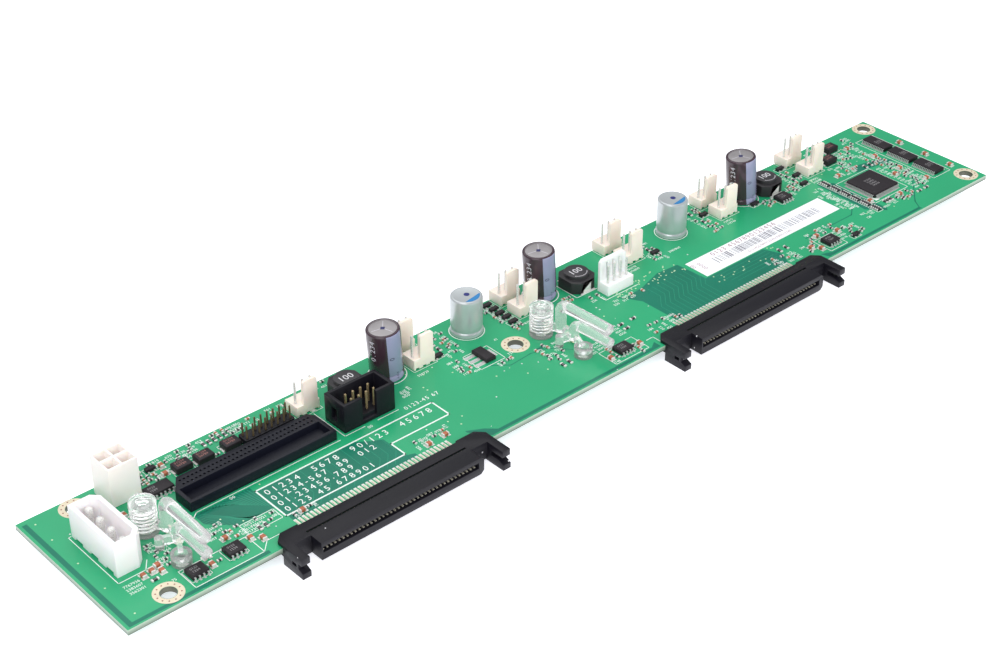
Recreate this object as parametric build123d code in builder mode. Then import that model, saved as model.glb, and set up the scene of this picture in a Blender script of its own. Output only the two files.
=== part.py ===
"""A drive backplane: a long circuit board with two edge sockets for drives, power, slot,
box and fan headers, capacitors, coils, chips and light pipes. Millimetres, +Z up.

Board coordinates are used throughout: x along the long front edge from the left corner,
y from the front edge to the rear edge, z above the board's top face. The part's own
origin is the centre of the four corner holes, on the underside of the board.
"""

import os
from math import hypot, sqrt

from build123d import *

os.makedirs("parts", exist_ok=True)

# Clearances
fit = 0.03  # between a pin, lead or peg and the hole that it passes through
drill_fit = 0.1  # between a pin and its drilled hole, on the radius
edge_gap = 0.05  # between the front edge of the board and a socket

# Circuit board and its mounting holes
board_length = 330.7
board_width = 51.7
board_t = 1.6
right = board_length
rear = board_width
hole_left = 14.5
hole_front = 4.9
hole_right_inset = 4.5
hole_rear_inset = 3.9
hole_r = 2.2
hole_pitch_x = right - hole_right_inset - hole_left
hole_pitch_y = rear - hole_rear_inset - hole_front
centre_hole = (147.6, 28.8)
centre_hole_r = 2.3
origin = (hole_left + hole_pitch_x / 2, hole_front + hole_pitch_y / 2)

# Drive sockets, which straddle the front edge
socket_centres = (78.07, 214.37)
socket_reaches = ((33.6, 34.6), (35.2, 34.9))  # from the centre to the ends of each
socket_leads = 40
socket_lead_pitch = 1.27
contact_w = 0.5
contact_t = 0.25
contact_rear = 6.3
socket_top = 0.9
shroud_bottom = -4.5
shroud_depth = 5.7
shroud_left = 26.0
shroud_right = 27.3
shroud_corner = 1.8
mouth_left = 25.5
mouth_right = 25.5
mouth_top = -0.5
mouth_bottom = -2.3
mouth_depth = 4.5
strip_front = 0.6
strip_rear = 3.8
strip_t = 0.9
block_inner = 26.0
block_rear = 4.3
block_corner = 2.3
block_front = -1.5
arm_w = 2.6
arm_front = -7.7
arm_bottom = -5.1
arm_web = 1.3

# Pin and pitch sizes shared by the headers
small_pin = 0.64
pin_pitch = 2.54
tail = 1.6

# Four-pin power header, standing along y
power_x = 12.35
power_y = 27.8
power_w = 8.3
power_l = 21.0
power_h = 10.0
power_wall = 1.2
power_floor = 2.6
power_corner = 2.0
power_pin_r = 1.05
power_pin_top = 8.6
power_pitch = 5.08
power_pins = 4

# Two-by-two auxiliary power header
aux_x = 26.0
aux_y = rear - 6.4
aux_w = 8.8
aux_h = 12.2
aux_pitch = 4.2
aux_cell = 3.5
aux_floor = 3.0
aux_pin = 1.1
aux_pin_top = 9.0

# Slot connector
slot_left = 35.6
slot_right = 81.8
slot_front = 26.6
slot_rear = 38.0
slot_h = 3.0
slot_corner = (1.5, 2.2)
slot_left_corner = (3.3, 4.6)
trough_inset = 1.1
trough_depth = 2.3
trough_w = 5.4
slot_columns = 33
slot_row_shift = 0.5
slot_pitch = 1.27
slot_hole = 0.6
slot_rows = (34.4, 36.2)
slot_pin = 0.4
slot_pin_top = 2.6

# Two-row pin header
pins_left = 61.9
pins_front = rear - 12.1
pins_columns = 8
pins_pitch = 2.0
pins_side = 0.5
pins_base_h = 2.0
pins_top = 6.0
pins_missing = (1, 1)  # column and row of the pin that is left out as a key

# Box header
box_left = 85.0
box_right = 102.2
box_front = 27.2
box_rear = 35.9
box_h = 8.7
box_wall = 1.1
box_floor = 2.2
box_key_w = 4.8
box_key_bottom = 1.0
box_slot_w = 2.2
box_slot_h = 6.0
box_columns = 4
box_pin_x = 89.8
box_pin_y = 30.3
box_pin_top = 7.7

# Fan headers: centre of the front edge of each, counted from the rear edge of the board
fan_places = [(83.6, 10.4), (121.3, 14.1), (121.3, 5.3), (161.5, 13.6), (161.6, 5.3), (205.0, 13.5),
              (204.3, 4.9), (247.5, 13.5), (247.3, 4.9), (289.4, 13.6), (288.5, 4.9)]
fan_w = 7.5
fan_d = 5.6
fan_base_h = 3.2
fan_tab_w = 4.7
fan_tab_shift = 0.9
fan_tab_t = 1.0
fan_h = 10.6
fan_tab_corner = 0.9
fan_pins = 3
fan_pin_top = 10.0
fan_pin_y = 2.4
fan_foot_w = 1.2
fan_foot_h = 0.5

# Four-pin header with a back wall
bus_left = 185.1
bus_w = 10.5
bus_front = 29.3
bus_d = 4.6
bus_base_h = 3.5
bus_wall_t = 1.0
bus_h = 10.8
bus_pins = 4
bus_slit_w = 0.7
bus_pin_top = 9.4

# Capacitors: (x, distance from the rear edge, lean of the top in x, lean in y)
electrolytics = [(111.0, 10.1, -1.0, 0.0), (170.9, 8.1, -1.0, 0.0), (258.9, 8.5, -1.4, 0.5)]
electrolytic_r = 4.9
electrolytic_h = 16.0
electrolytic_groove = 0.35
polymers = [(142.0, 8.1), (226.4, 8.3)]
polymer_r = 4.75
polymer_h = 12.2
polymer_flare = 0.15
lead_r = 0.3
lead_pitch = 5.0

# Chokes: (x, distance of the centre from the rear edge)
chokes = [(97.4, 9.7), (182.6, 11.3), (268.9, 9.4)]
choke_size = 9.6
choke_body_h = 3.8
choke_cap_r = 3.75
choke_h = 5.0
choke_corner = 2.0
terminal_w = 3.0
terminal_t = 0.25
terminal_h = 3.5
terminal_foot_w = 5.6
terminal_foot_l = 0.6

# Light pipes: offset of each assembly from the left one, and its small turn in degrees
pipe_offsets = (0.0, 133.8)
pipe_turns = (-2.5, 2.5)
rib_post = (23.1, 28.1)
rib_post_r = 3.5
rib_post_h = 9.3
rib_neck_r = 2.8
rib_bore = 1.7
rib_bore_depth = 2.5
rib_count = 6
rib_t = 0.4
low_post = (23.8, 12.0)
low_post_r = 2.7
low_post_h = 3.0
low_post_bore = 1.7
upper_pipe = (27.3, 24.4)
upper_pipe_r = 1.7
upper_pipe_z = 9.8
upper_bend = 2.2
upper_end_y = 5.5
lower_pipe = (26.9, 18.7)
lower_pipe_r = 1.5
lower_pipe_z = 6.0
lower_bend = 2.0
lower_end_y = 4.5
foot_post = (22.4, 20.0)
foot_post_r = 1.2
web_t = 1.3
web_bottom = 1.0
web_top = 3.4
peg_r = 0.9
peg_length = 1.3
led_size = (1.6, 1.2, 0.7)

# Voltage regulator
regulator_left = 135.0
regulator_front = 26.9
regulator_body = (3.5, 6.6, 1.3)
regulator_lead_pitch = 2.29
regulator_lead_w = 0.8
regulator_lead_l = 3.2
regulator_tab_w = 3.2
regulator_tab_l = 1.6

# Chips: centres from the left or right edge, sizes in x, y and z
chip_standoff = 0.1
chip_lead_t = 0.15
controller = (right - 33.7, 20.6)
controller_size = (12.2, 12.0, 1.4)
controller_side_leads = 28
controller_pitch = 0.4
controller_lead_w = 0.2
gull_reach = 1.0
buffer_x = right - 10.2
buffer_ys = (15.95, 26.65, 37.25)
buffer_size = (4.4, 9.4, 1.3)
buffer_leads = 14
buffer_pitch = 0.65
buffer_lead_w = 0.3
soics = [(23.6, 6.3), (35.0, 7.0), (168.5, 6.4), (259.0, 6.3), (268.5, rear - 17.7)]
soic_size = (4.9, 3.9, 1.3)
soic_leads = 4
soic_pitch = 1.27
soic_lead_w = 0.45
soic_gull = 0.9
logic_chip = (34.3, 39.4)
logic_size = (7.4, 3.9, 1.4)
logic_leads = 6

# Small surface parts: (x, y, turned a quarter)
ceramic_size = (2.0, 1.25, 0.9)
ceramic_end = 0.4
resistor_size = (1.6, 0.8, 0.45)
transistor_size = (2.9, 1.4, 1.0)
ceramics = [(13.2, 13.8, 1), (15.7, 13.9, 1), (17.6, 12.4, 1), (28.6, 9.6, 0), (28.0, 6.2, 1), (40.8, 8.3, 1),
            (43.2, 6.3, 1), (36.0, 12.4, 0), (162.8, 5.4, 1), (174.2, 5.4, 1), (251.5, 7.6, 1), (253.7, 5.3, 1),
            (258.0, 11.2, 0), (265.7, 9.0, 1), (288.2, 14.2, 1), (293.5, 31.9, 0), (299.0, 10.8, 0),
            (right - 3.4, 33.2, 1), (right - 3.5, 22.4, 1), (right - 3.4, 12.2, 1), (right - 20.4, rear - 9.5, 0),
            (57.0, 8.6, 0), (98.5, 8.6, 0), (104.5, 9.0, 0), (22.2, 36.6, 1), (17.9, 14.9, 0), (39.4, 44.2, 0),
            (40.5, 47.8, 1), (right - 17.5, 32.6, 0), (right - 17.7, 22.0, 0), (right - 16.5, 11.9, 0),
            (right - 22.1, 20.3, 1)]
resistors = [(14.6, 10.8, 0), (44.9, 10.0, 1), (46.8, 10.0, 1), (18.0, 43.5, 1), (34.0, rear - 2.6, 0),
             (54.0, rear - 3.6, 1), (55.7, rear - 3.6, 1), (57.4, rear - 3.6, 1), (59.1, rear - 3.6, 1),
             (60.8, rear - 3.6, 1), (129.5, rear - 10.5, 1), (129.5, rear - 7.5, 1), (129.5, rear - 4.5, 1),
             (213.0, rear - 11.5, 1), (213.0, rear - 8.5, 1), (238.5, rear - 11.0, 1), (238.5, rear - 5.0, 1),
             (280.5, rear - 12.0, 1), (280.5, rear - 9.0, 1), (177.0, 16.0, 0), (177.0, 13.5, 0), (182.0, 16.0, 0),
             (243.0, 13.0, 1), (246.0, 13.0, 1), (291.6, 10.8, 1), (293.0, 10.8, 1), (294.4, 10.8, 1), (305.5, 8.0, 0),
             (309.0, 8.0, 0), (right - 25.5, 30.0, 1), (right - 23.0, 30.0, 1), (150.5, 12.0, 1), (153.0, 12.0, 1)]
transistors = [(37.5, rear - 3.4), (154.8, rear - 2.4), (154.9, rear - 5.3), (154.8, rear - 8.1), (155.0, rear - 10.8),
               (154.8, rear - 13.9), (258.9, rear - 14.2), (241.5, rear - 8.0), (283.4, rear - 10.5), (282.6, rear - 4.0),
               (127.0, rear - 13.0), (213.4, rear - 14.0), (281.0, rear - 15.8), (267.9, 3.6)]
array_x = right - 44.7
array_ys = (10.2, 14.4, 18.6, 22.8, 27.0, 31.2)
array_size = (1.6, 3.4, 0.5)
diode_places = [(50.5, rear - 8.9), (59.0, rear - 8.9), (44.0, rear - 8.4), (right - 32.3, rear - 11.4),
                (right - 25.7, rear - 6.3)]
diode_size = (5.0, 3.6, 2.0)
diode_end = 0.5

# Paper sticker
label_left = 215.5
label_front = 17.6
label_size = (61.7, 9.3)
label_t = 0.12


def spot(x, y, z=0.0):
    """The part's own point for a place in board coordinates."""
    return Vector(x - origin[0], y - origin[1], board_t + z)


def level(z=0.0):
    """A level plane at height z whose sketch coordinates are board coordinates."""
    return Plane(origin=spot(0, 0, z))


def section(x):
    """An upright plane at x, facing +x, whose sketch coordinates are board y and z."""
    return Plane(origin=spot(x, 0, 0), x_dir=(0, 1, 0), z_dir=(1, 0, 0))


def row(count, pitch, middle):
    """Evenly spaced values about a middle."""
    return [middle + (i - (count - 1) / 2) * pitch for i in range(count)]


def keep(piece, label):
    """Name a finished piece and write it."""
    piece.part.label = label
    export_step(piece.part, f"parts/{label}.step")


drilled = []  # (x, y, radius) of every hole that a pin, lead or peg needs


def drill(places, half_width, square=True):
    """Note a drilled hole with clearance for each pin."""
    corner = half_width * (sqrt(2) if square else 1)
    drilled.extend((x, y, corner + drill_fit) for x, y in places)


def rect_pins(places, side, top, bottom):
    """Square pins between two heights, as separate solids."""
    with BuildPart() as pins:
        with BuildSketch(level(bottom)):
            with Locations(*places):
                Rectangle(side, side)
        extrude(amount=top - bottom, clean=False)
    return pins


# Drive sockets: one moulding each, with a row of contacts above and one below the board
contact_front = -mouth_depth - edge_gap - 0.2
drop_rear = -6 * edge_gap
drop_front = drop_rear - contact_t
wall_front = -(shroud_depth - mouth_depth)


def contact_set(centre):
    """Contacts that step from the pads on both faces of the board to the mouth's two faces."""
    with BuildPart() as contacts:
        for pad, mouth in ((0, mouth_top - contact_t), (-board_t - contact_t, mouth_bottom)):
            outline = [(contact_rear, pad + contact_t), (drop_front, pad + contact_t),
                       (drop_front, mouth + contact_t), (contact_front, mouth + contact_t), (contact_front, mouth),
                       (drop_rear, mouth), (drop_rear, pad), (contact_rear, pad)]
            with BuildSketch(*(section(x - contact_w / 2) for x in row(socket_leads, socket_lead_pitch, centre))):
                with BuildLine():
                    Polyline(*outline, close=True)
                make_face()
            extrude(amount=contact_w, clean=False)
    return contacts


for name, centre, reaches in zip(("left", "right"), socket_centres, socket_reaches):
    with BuildPart() as housing:
        with BuildSketch(level(socket_top)):
            with Locations((centre - shroud_left, -edge_gap)):
                Rectangle(shroud_left + shroud_right, shroud_depth - edge_gap, align=(Align.MIN, Align.MAX))
        extrude(amount=shroud_bottom - socket_top)
        ends = housing.edges().filter_by(Axis.Y).group_by(Axis.X)[-1]
        chamfer(ends, shroud_corner * 0.55)
        for hand, reach in zip((-1, 1), reaches):
            near = centre + hand * block_inner
            end = centre + hand * reach
            arm_near = end - hand * arm_w
            outline = [(near, block_front), (near, block_rear), (end - hand * block_corner, block_rear),
                       (end, block_rear - block_corner), (end, block_front)]
            for top, bottom in ((socket_top, 0), (-board_t, -board_t - strip_t)):
                with BuildSketch(level(top)):
                    with BuildLine():
                        Polyline(*outline, close=True)
                    make_face()
                extrude(amount=bottom - top)
            with BuildSketch(level(socket_top)):
                with BuildLine():
                    Polyline((near, block_front), (near, -edge_gap), (end, -edge_gap), (end, block_front), close=True)
                make_face()
            extrude(amount=shroud_bottom - socket_top)
            with BuildSketch(section(min(end, arm_near))):
                with BuildLine():
                    Polyline((-edge_gap, socket_top), (arm_front, socket_top), (arm_front, socket_top - 2),
                             (arm_front + 1.5, socket_top - 2), (arm_front + 1.5, socket_top - 3.5),
                             (arm_front - 0.3, socket_top - 4.3), (arm_front - 0.3, arm_bottom),
                             (-edge_gap, arm_bottom), close=True)
                make_face()
                with Locations(((arm_front + block_front) / 2, socket_top - 3)):
                    Rectangle(1.7, 1.0, mode=Mode.SUBTRACT)
            extrude(amount=arm_w)
            with BuildSketch(section(arm_near)):
                with Locations((arm_front + 1.5, socket_top - 2)):
                    Rectangle(3.2, 1.5, align=(Align.MIN, Align.MAX))
            extrude(amount=hand * (arm_w - arm_web), mode=Mode.SUBTRACT)
        with BuildSketch(level(socket_top), level(-board_t)):
            with Locations((centre - block_inner, strip_front)):
                Rectangle(2 * block_inner, strip_rear - strip_front, align=(Align.MIN, Align.MIN))
        extrude(amount=-strip_t)
        with BuildSketch(level(mouth_bottom)):
            with Locations((centre - mouth_left, -shroud_depth)):
                Rectangle(mouth_left + mouth_right, mouth_depth, align=(Align.MIN, Align.MIN))
        extrude(amount=mouth_top - mouth_bottom, mode=Mode.SUBTRACT)
        for low, high in ((mouth_top - contact_t - fit, contact_t + fit), (mouth_bottom, -board_t)):
            with BuildSketch(level(low)):
                with Locations(*((x, wall_front - fit) for x in row(socket_leads, socket_lead_pitch, centre))):
                    Rectangle(contact_w + 2 * fit, strip_rear - wall_front + 1, align=(Align.CENTER, Align.MIN))
            extrude(amount=high - low, mode=Mode.SUBTRACT)
    keep(housing, f"drive_socket_{name}")

    keep(contact_set(centre), f"drive_contacts_{name}")

# Four-pin power header
power_places = [(power_x, y) for y in row(power_pins, power_pitch, power_y)]
with BuildPart() as power_header:
    with BuildSketch(level()):
        with Locations((power_x, power_y)):
            shell = Rectangle(power_w, power_l)
        chamfer(shell.vertices().group_by(Axis.X)[-1], power_corner)
    extrude(amount=power_h)
    with BuildSketch(level(power_floor)):
        with Locations((power_x, power_y)):
            inner = Rectangle(power_w - 2 * power_wall, power_l - 2 * power_wall)
        chamfer(inner.vertices().group_by(Axis.X)[-1], power_corner * 0.8)
    extrude(amount=power_h - power_floor, mode=Mode.SUBTRACT)
    with BuildSketch(level()):
        with Locations(*power_places):
            Circle(power_pin_r + fit)
    extrude(amount=power_floor, mode=Mode.SUBTRACT)
    with BuildSketch(section(power_x - power_w / 2)):
        with Locations(*((y, 0) for y in row(3, power_l / 3, power_y))):
            Rectangle(power_l / 6, 0.8, align=(Align.CENTER, Align.MIN))
    extrude(amount=power_wall * 0.7, mode=Mode.SUBTRACT)
keep(power_header, "power_header")
with BuildPart() as power_header_pins:
    with BuildSketch(level(-board_t - tail)):
        with Locations(*power_places):
            Circle(power_pin_r)
    extrude(amount=power_pin_top + board_t + tail)
    fillet(power_header_pins.edges().group_by(Axis.Z)[-1], power_pin_r * 0.6)
keep(power_header_pins, "power_header_pins")
drill(power_places, power_pin_r, square=False)

# Two-by-two auxiliary power header
aux_places = [(x, y) for x in row(2, aux_pitch, aux_x) for y in row(2, aux_pitch, aux_y)]
with BuildPart() as aux_header:
    with BuildSketch(level()):
        with Locations((aux_x, aux_y)):
            Rectangle(aux_w, aux_w)
    extrude(amount=aux_h)
    with BuildSketch(level(aux_floor)):
        with Locations(*aux_places):
            Rectangle(aux_cell, aux_cell)
    extrude(amount=aux_h - aux_floor, mode=Mode.SUBTRACT)
    with BuildSketch(level()):
        with Locations(*aux_places):
            Rectangle(aux_pin + 2 * fit, aux_pin + 2 * fit)
    extrude(amount=aux_floor, mode=Mode.SUBTRACT)
keep(aux_header, "aux_power_header")
keep(rect_pins(aux_places, aux_pin, aux_pin_top, -board_t - tail), "aux_power_pins")
drill(aux_places, aux_pin / 2)

# Slot connector with its trough and two rows of contacts
slot_x = (slot_left + slot_right) / 2
slot_places = [(x, y) for x in row(slot_columns, slot_pitch, slot_x + slot_row_shift) for y in slot_rows]
with BuildPart() as slot_connector:
    with BuildSketch(level()):
        with BuildLine():
            Polyline((slot_left, slot_front), (slot_right, slot_front), (slot_right, slot_rear - slot_corner[1]),
                     (slot_right - slot_corner[0], slot_rear), (slot_left + slot_left_corner[0], slot_rear),
                     (slot_left, slot_rear - slot_left_corner[1]), close=True)
        make_face()
    extrude(amount=slot_h)
    with BuildSketch(level(slot_h)):
        with Locations(((slot_left + slot_right) / 2, slot_front + trough_inset)):
            Rectangle(slot_right - slot_left - 2 * trough_inset, trough_w, align=(Align.CENTER, Align.MIN))
    extrude(amount=-trough_depth, mode=Mode.SUBTRACT)
    with BuildSketch(level()):
        with Locations(*slot_places):
            Rectangle(slot_hole, slot_hole)
    extrude(amount=slot_h, mode=Mode.SUBTRACT)
keep(slot_connector, "slot_connector")
keep(rect_pins(slot_places, slot_pin, slot_pin_top, -board_t - tail), "slot_contacts")
drill(slot_places, slot_pin / 2)

# Two-row pin header
pins_x = pins_left + pins_columns * pins_pitch / 2
pins_places = [(x, y) for i, x in enumerate(row(pins_columns, pins_pitch, pins_x))
               for j, y in enumerate(row(2, pins_pitch, pins_front + pins_pitch)) if (i, j) != pins_missing]
with BuildPart() as pin_header:
    with BuildSketch(level()):
        with Locations((pins_x, pins_front + pins_pitch)):
            Rectangle(pins_columns * pins_pitch, 2 * pins_pitch)
    extrude(amount=pins_base_h)
    chamfer(pin_header.edges().filter_by(Axis.Z), 0.4)
    with BuildSketch(level()):
        with Locations(*pins_places):
            Rectangle(pins_side + 2 * fit, pins_side + 2 * fit)
    extrude(amount=pins_base_h, mode=Mode.SUBTRACT)
keep(pin_header, "pin_header")
keep(rect_pins(pins_places, pins_side, pins_top, -board_t - tail), "pin_header_pins")
drill(pins_places, pins_side / 2)

# Box header
box_x = (box_left + box_right) / 2
box_y = (box_front + box_rear) / 2
box_places = [(box_pin_x + i * pin_pitch, box_pin_y + j * pin_pitch) for i in range(box_columns) for j in (0, 1)]
with BuildPart() as box_header:
    with BuildSketch(level()):
        with Locations((box_x, box_y)):
            Rectangle(box_right - box_left, box_rear - box_front)
    extrude(amount=box_h)
    with BuildSketch(level(box_floor)):
        with Locations((box_x, box_y)):
            Rectangle(box_right - box_left - 2 * box_wall, box_rear - box_front - 2 * box_wall)
    extrude(amount=box_h - box_floor, mode=Mode.SUBTRACT)
    with BuildSketch(level(box_h)):
        with Locations((box_x, box_front)):
            Rectangle(box_key_w, box_wall, align=(Align.CENTER, Align.MIN))
    extrude(amount=box_key_bottom - box_h, mode=Mode.SUBTRACT)
    with BuildSketch(level(box_slot_h)):
        with Locations((box_left, box_y)):
            Rectangle(box_wall, box_slot_w, align=(Align.MIN, Align.CENTER))
    extrude(amount=box_floor - box_slot_h, mode=Mode.SUBTRACT)
    with BuildSketch(level()):
        with Locations(*box_places):
            Rectangle(small_pin + 2 * fit, small_pin + 2 * fit)
    extrude(amount=box_floor, mode=Mode.SUBTRACT)
keep(box_header, "box_header")
keep(rect_pins(box_places, small_pin, box_pin_top, -board_t - tail), "box_header_pins")
drill(box_places, small_pin / 2)

# Fan headers, each with its own housing; their pins are one group
fan_pin_places = []
for number, (x, inset) in enumerate(fan_places, 1):
    front = rear - inset
    places = [(px, front + fan_pin_y) for px in row(fan_pins, pin_pitch, x)]
    fan_pin_places.extend(places)
    with BuildPart() as fan_header:
        with BuildSketch(level()):
            with Locations((x, front)):
                Rectangle(fan_w, fan_d, align=(Align.CENTER, Align.MIN))
        extrude(amount=fan_base_h)
        with BuildSketch(Plane(origin=spot(x, front, 0), x_dir=(1, 0, 0), z_dir=(0, -1, 0))):
            with Locations((fan_tab_shift, 0)):
                tab = Rectangle(fan_tab_w, fan_h, align=(Align.CENTER, Align.MIN))
            fillet(tab.vertices().group_by(Axis.Y)[-1], fan_tab_corner)
        extrude(amount=-fan_tab_t)
        with BuildSketch(level()):
            with Locations(*((px, front) for px in row(fan_pins, pin_pitch, x))):
                Rectangle(fan_foot_w, fan_d * 2, align=(Align.CENTER, Align.CENTER))
        extrude(amount=fan_foot_h, mode=Mode.SUBTRACT)
        with BuildSketch(level()):
            with Locations(*places):
                Rectangle(small_pin + 2 * fit, small_pin + 2 * fit)
        extrude(amount=fan_base_h, mode=Mode.SUBTRACT)
    keep(fan_header, f"fan_header_{number:02d}")
keep(rect_pins(fan_pin_places, small_pin, fan_pin_top, -board_t - tail), "fan_header_pins")
drill(fan_pin_places, small_pin / 2)

# Four-pin header with a slotted back wall
bus_x = bus_left + bus_w / 2
bus_pin_y = bus_front + (bus_d - bus_wall_t) / 2
bus_places = [(x, bus_pin_y) for x in row(bus_pins, pin_pitch, bus_x)]
with BuildPart() as bus_header:
    with BuildSketch(level()):
        with Locations((bus_x, bus_front)):
            Rectangle(bus_w, bus_d, align=(Align.CENTER, Align.MIN))
    extrude(amount=bus_base_h)
    with BuildSketch(level()):
        with Locations((bus_x, bus_front + bus_d)):
            Rectangle(bus_w, bus_wall_t, align=(Align.CENTER, Align.MAX))
    extrude(amount=bus_h)
    chamfer(bus_header.edges().filter_by(Axis.Y).group_by(Axis.Z)[-1], fan_tab_corner)
    with BuildSketch(level(bus_base_h)):
        with Locations(*((x, bus_front + bus_d) for x in row(bus_pins - 1, pin_pitch, bus_x))):
            Rectangle(bus_slit_w, bus_wall_t, align=(Align.CENTER, Align.MAX))
    extrude(amount=(bus_h - bus_base_h) * 0.8, mode=Mode.SUBTRACT)
    with BuildSketch(level()):
        with Locations(*bus_places):
            Rectangle(small_pin + 2 * fit, small_pin + 2 * fit)
    extrude(amount=bus_base_h, mode=Mode.SUBTRACT)
keep(bus_header, "bus_header")
keep(rect_pins(bus_places, small_pin, bus_pin_top, -board_t - tail), "bus_header_pins")
drill(bus_places, small_pin / 2)

# Electrolytic and polymer capacitors: sealed cans, with their leads as one group
seats = []
for number, (x, inset, lean_x, lean_y) in enumerate(electrolytics, 1):
    y = rear - inset
    slope = hypot(lean_x, lean_y) / electrolytic_h
    seat = Plane(origin=spot(x, y, electrolytic_r * slope + edge_gap), z_dir=(lean_x, lean_y, electrolytic_h),
                 x_dir=(1, 0, -lean_x / electrolytic_h))
    seats.append((seat, x, y))
    with BuildPart() as can:
        with BuildSketch(seat):
            Circle(electrolytic_r)
        extrude(amount=electrolytic_h)
        fillet(can.edges().filter_by(GeomType.CIRCLE), 0.5)
        with BuildSketch(seat.offset(1.7)):
            Circle(electrolytic_r)
            Circle(electrolytic_r - electrolytic_groove, mode=Mode.SUBTRACT)
        extrude(amount=0.6, mode=Mode.SUBTRACT)
        with BuildSketch(seat.offset(electrolytic_h)):
            Circle(electrolytic_r * 0.82)
        extrude(amount=-0.3, mode=Mode.SUBTRACT)
    keep(can, f"electrolytic_capacitor_{number}")
for number, (x, inset) in enumerate(polymers, 1):
    y = rear - inset
    seats.append((level(edge_gap).moved(Location((x, y, 0))), x, y))
    with BuildPart() as can:
        with BuildSketch(level(edge_gap)):
            with Locations((x, y)):
                Circle(polymer_r + polymer_flare)
        extrude(amount=1.4)
        fillet(can.edges().filter_by(GeomType.CIRCLE), 0.4)
        with BuildSketch(level(1.2)):
            with Locations((x, y)):
                Circle(polymer_r - polymer_flare)
        extrude(amount=1)
        with BuildSketch(level(2.0)):
            with Locations((x, y)):
                Circle(polymer_r)
        extrude(amount=polymer_h - 2.0)
        fillet(can.edges().filter_by(GeomType.CIRCLE).group_by(Axis.Z)[-1], 0.5)
    keep(can, f"polymer_capacitor_{number}")
with BuildPart() as capacitor_leads:
    for seat, x, y in seats:
        with BuildSketch(seat):
            with Locations((-lead_pitch / 2, 0), (lead_pitch / 2, 0)):
                Circle(lead_r)
        extrude(amount=-(board_t + tail))
        drilled.extend((x + side * lead_pitch / 2, y, lead_r + 3 * drill_fit) for side in (-1, 1))
keep(capacitor_leads, "capacitor_leads")

# Chokes: a chamfered square body with a round cap, and wrapped metal terminals
terminal_planes = []
for number, (x, inset) in enumerate(chokes, 1):
    y = rear - inset
    half = choke_size / 2
    with BuildPart() as choke:
        with BuildSketch(level(edge_gap)):
            with Locations((x, y)):
                base = Rectangle(choke_size, choke_size)
            chamfer(base.vertices(), choke_corner)
        extrude(amount=choke_body_h - edge_gap)
        with BuildSketch(level(choke_body_h)):
            with Locations((x, y)):
                Circle(choke_cap_r)
        extrude(amount=choke_h - choke_body_h)
        for turn in (0, 180):
            corner = Plane(origin=spot(x, y, 0)).rotated((0, 0, turn))
            with BuildSketch(corner):
                with Locations((0, -half)):
                    Rectangle(terminal_w + 2 * fit, terminal_t + fit, align=(Align.CENTER, Align.MIN))
            extrude(amount=terminal_h + fit, mode=Mode.SUBTRACT)
            terminal_planes.append(corner)
    keep(choke, f"choke_{number}")
with BuildPart() as choke_terminals:
    for corner in terminal_planes:
        with BuildSketch(corner):
            with Locations((0, -choke_size / 2)):
                Rectangle(terminal_w, terminal_t, align=(Align.CENTER, Align.MIN))
        extrude(amount=terminal_h)
        with BuildSketch(corner):
            with Locations((0, -choke_size / 2)):
                Rectangle(terminal_foot_w, terminal_foot_l, align=(Align.CENTER, Align.MAX))
        extrude(amount=terminal_t)
keep(choke_terminals, "choke_terminals")

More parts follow.
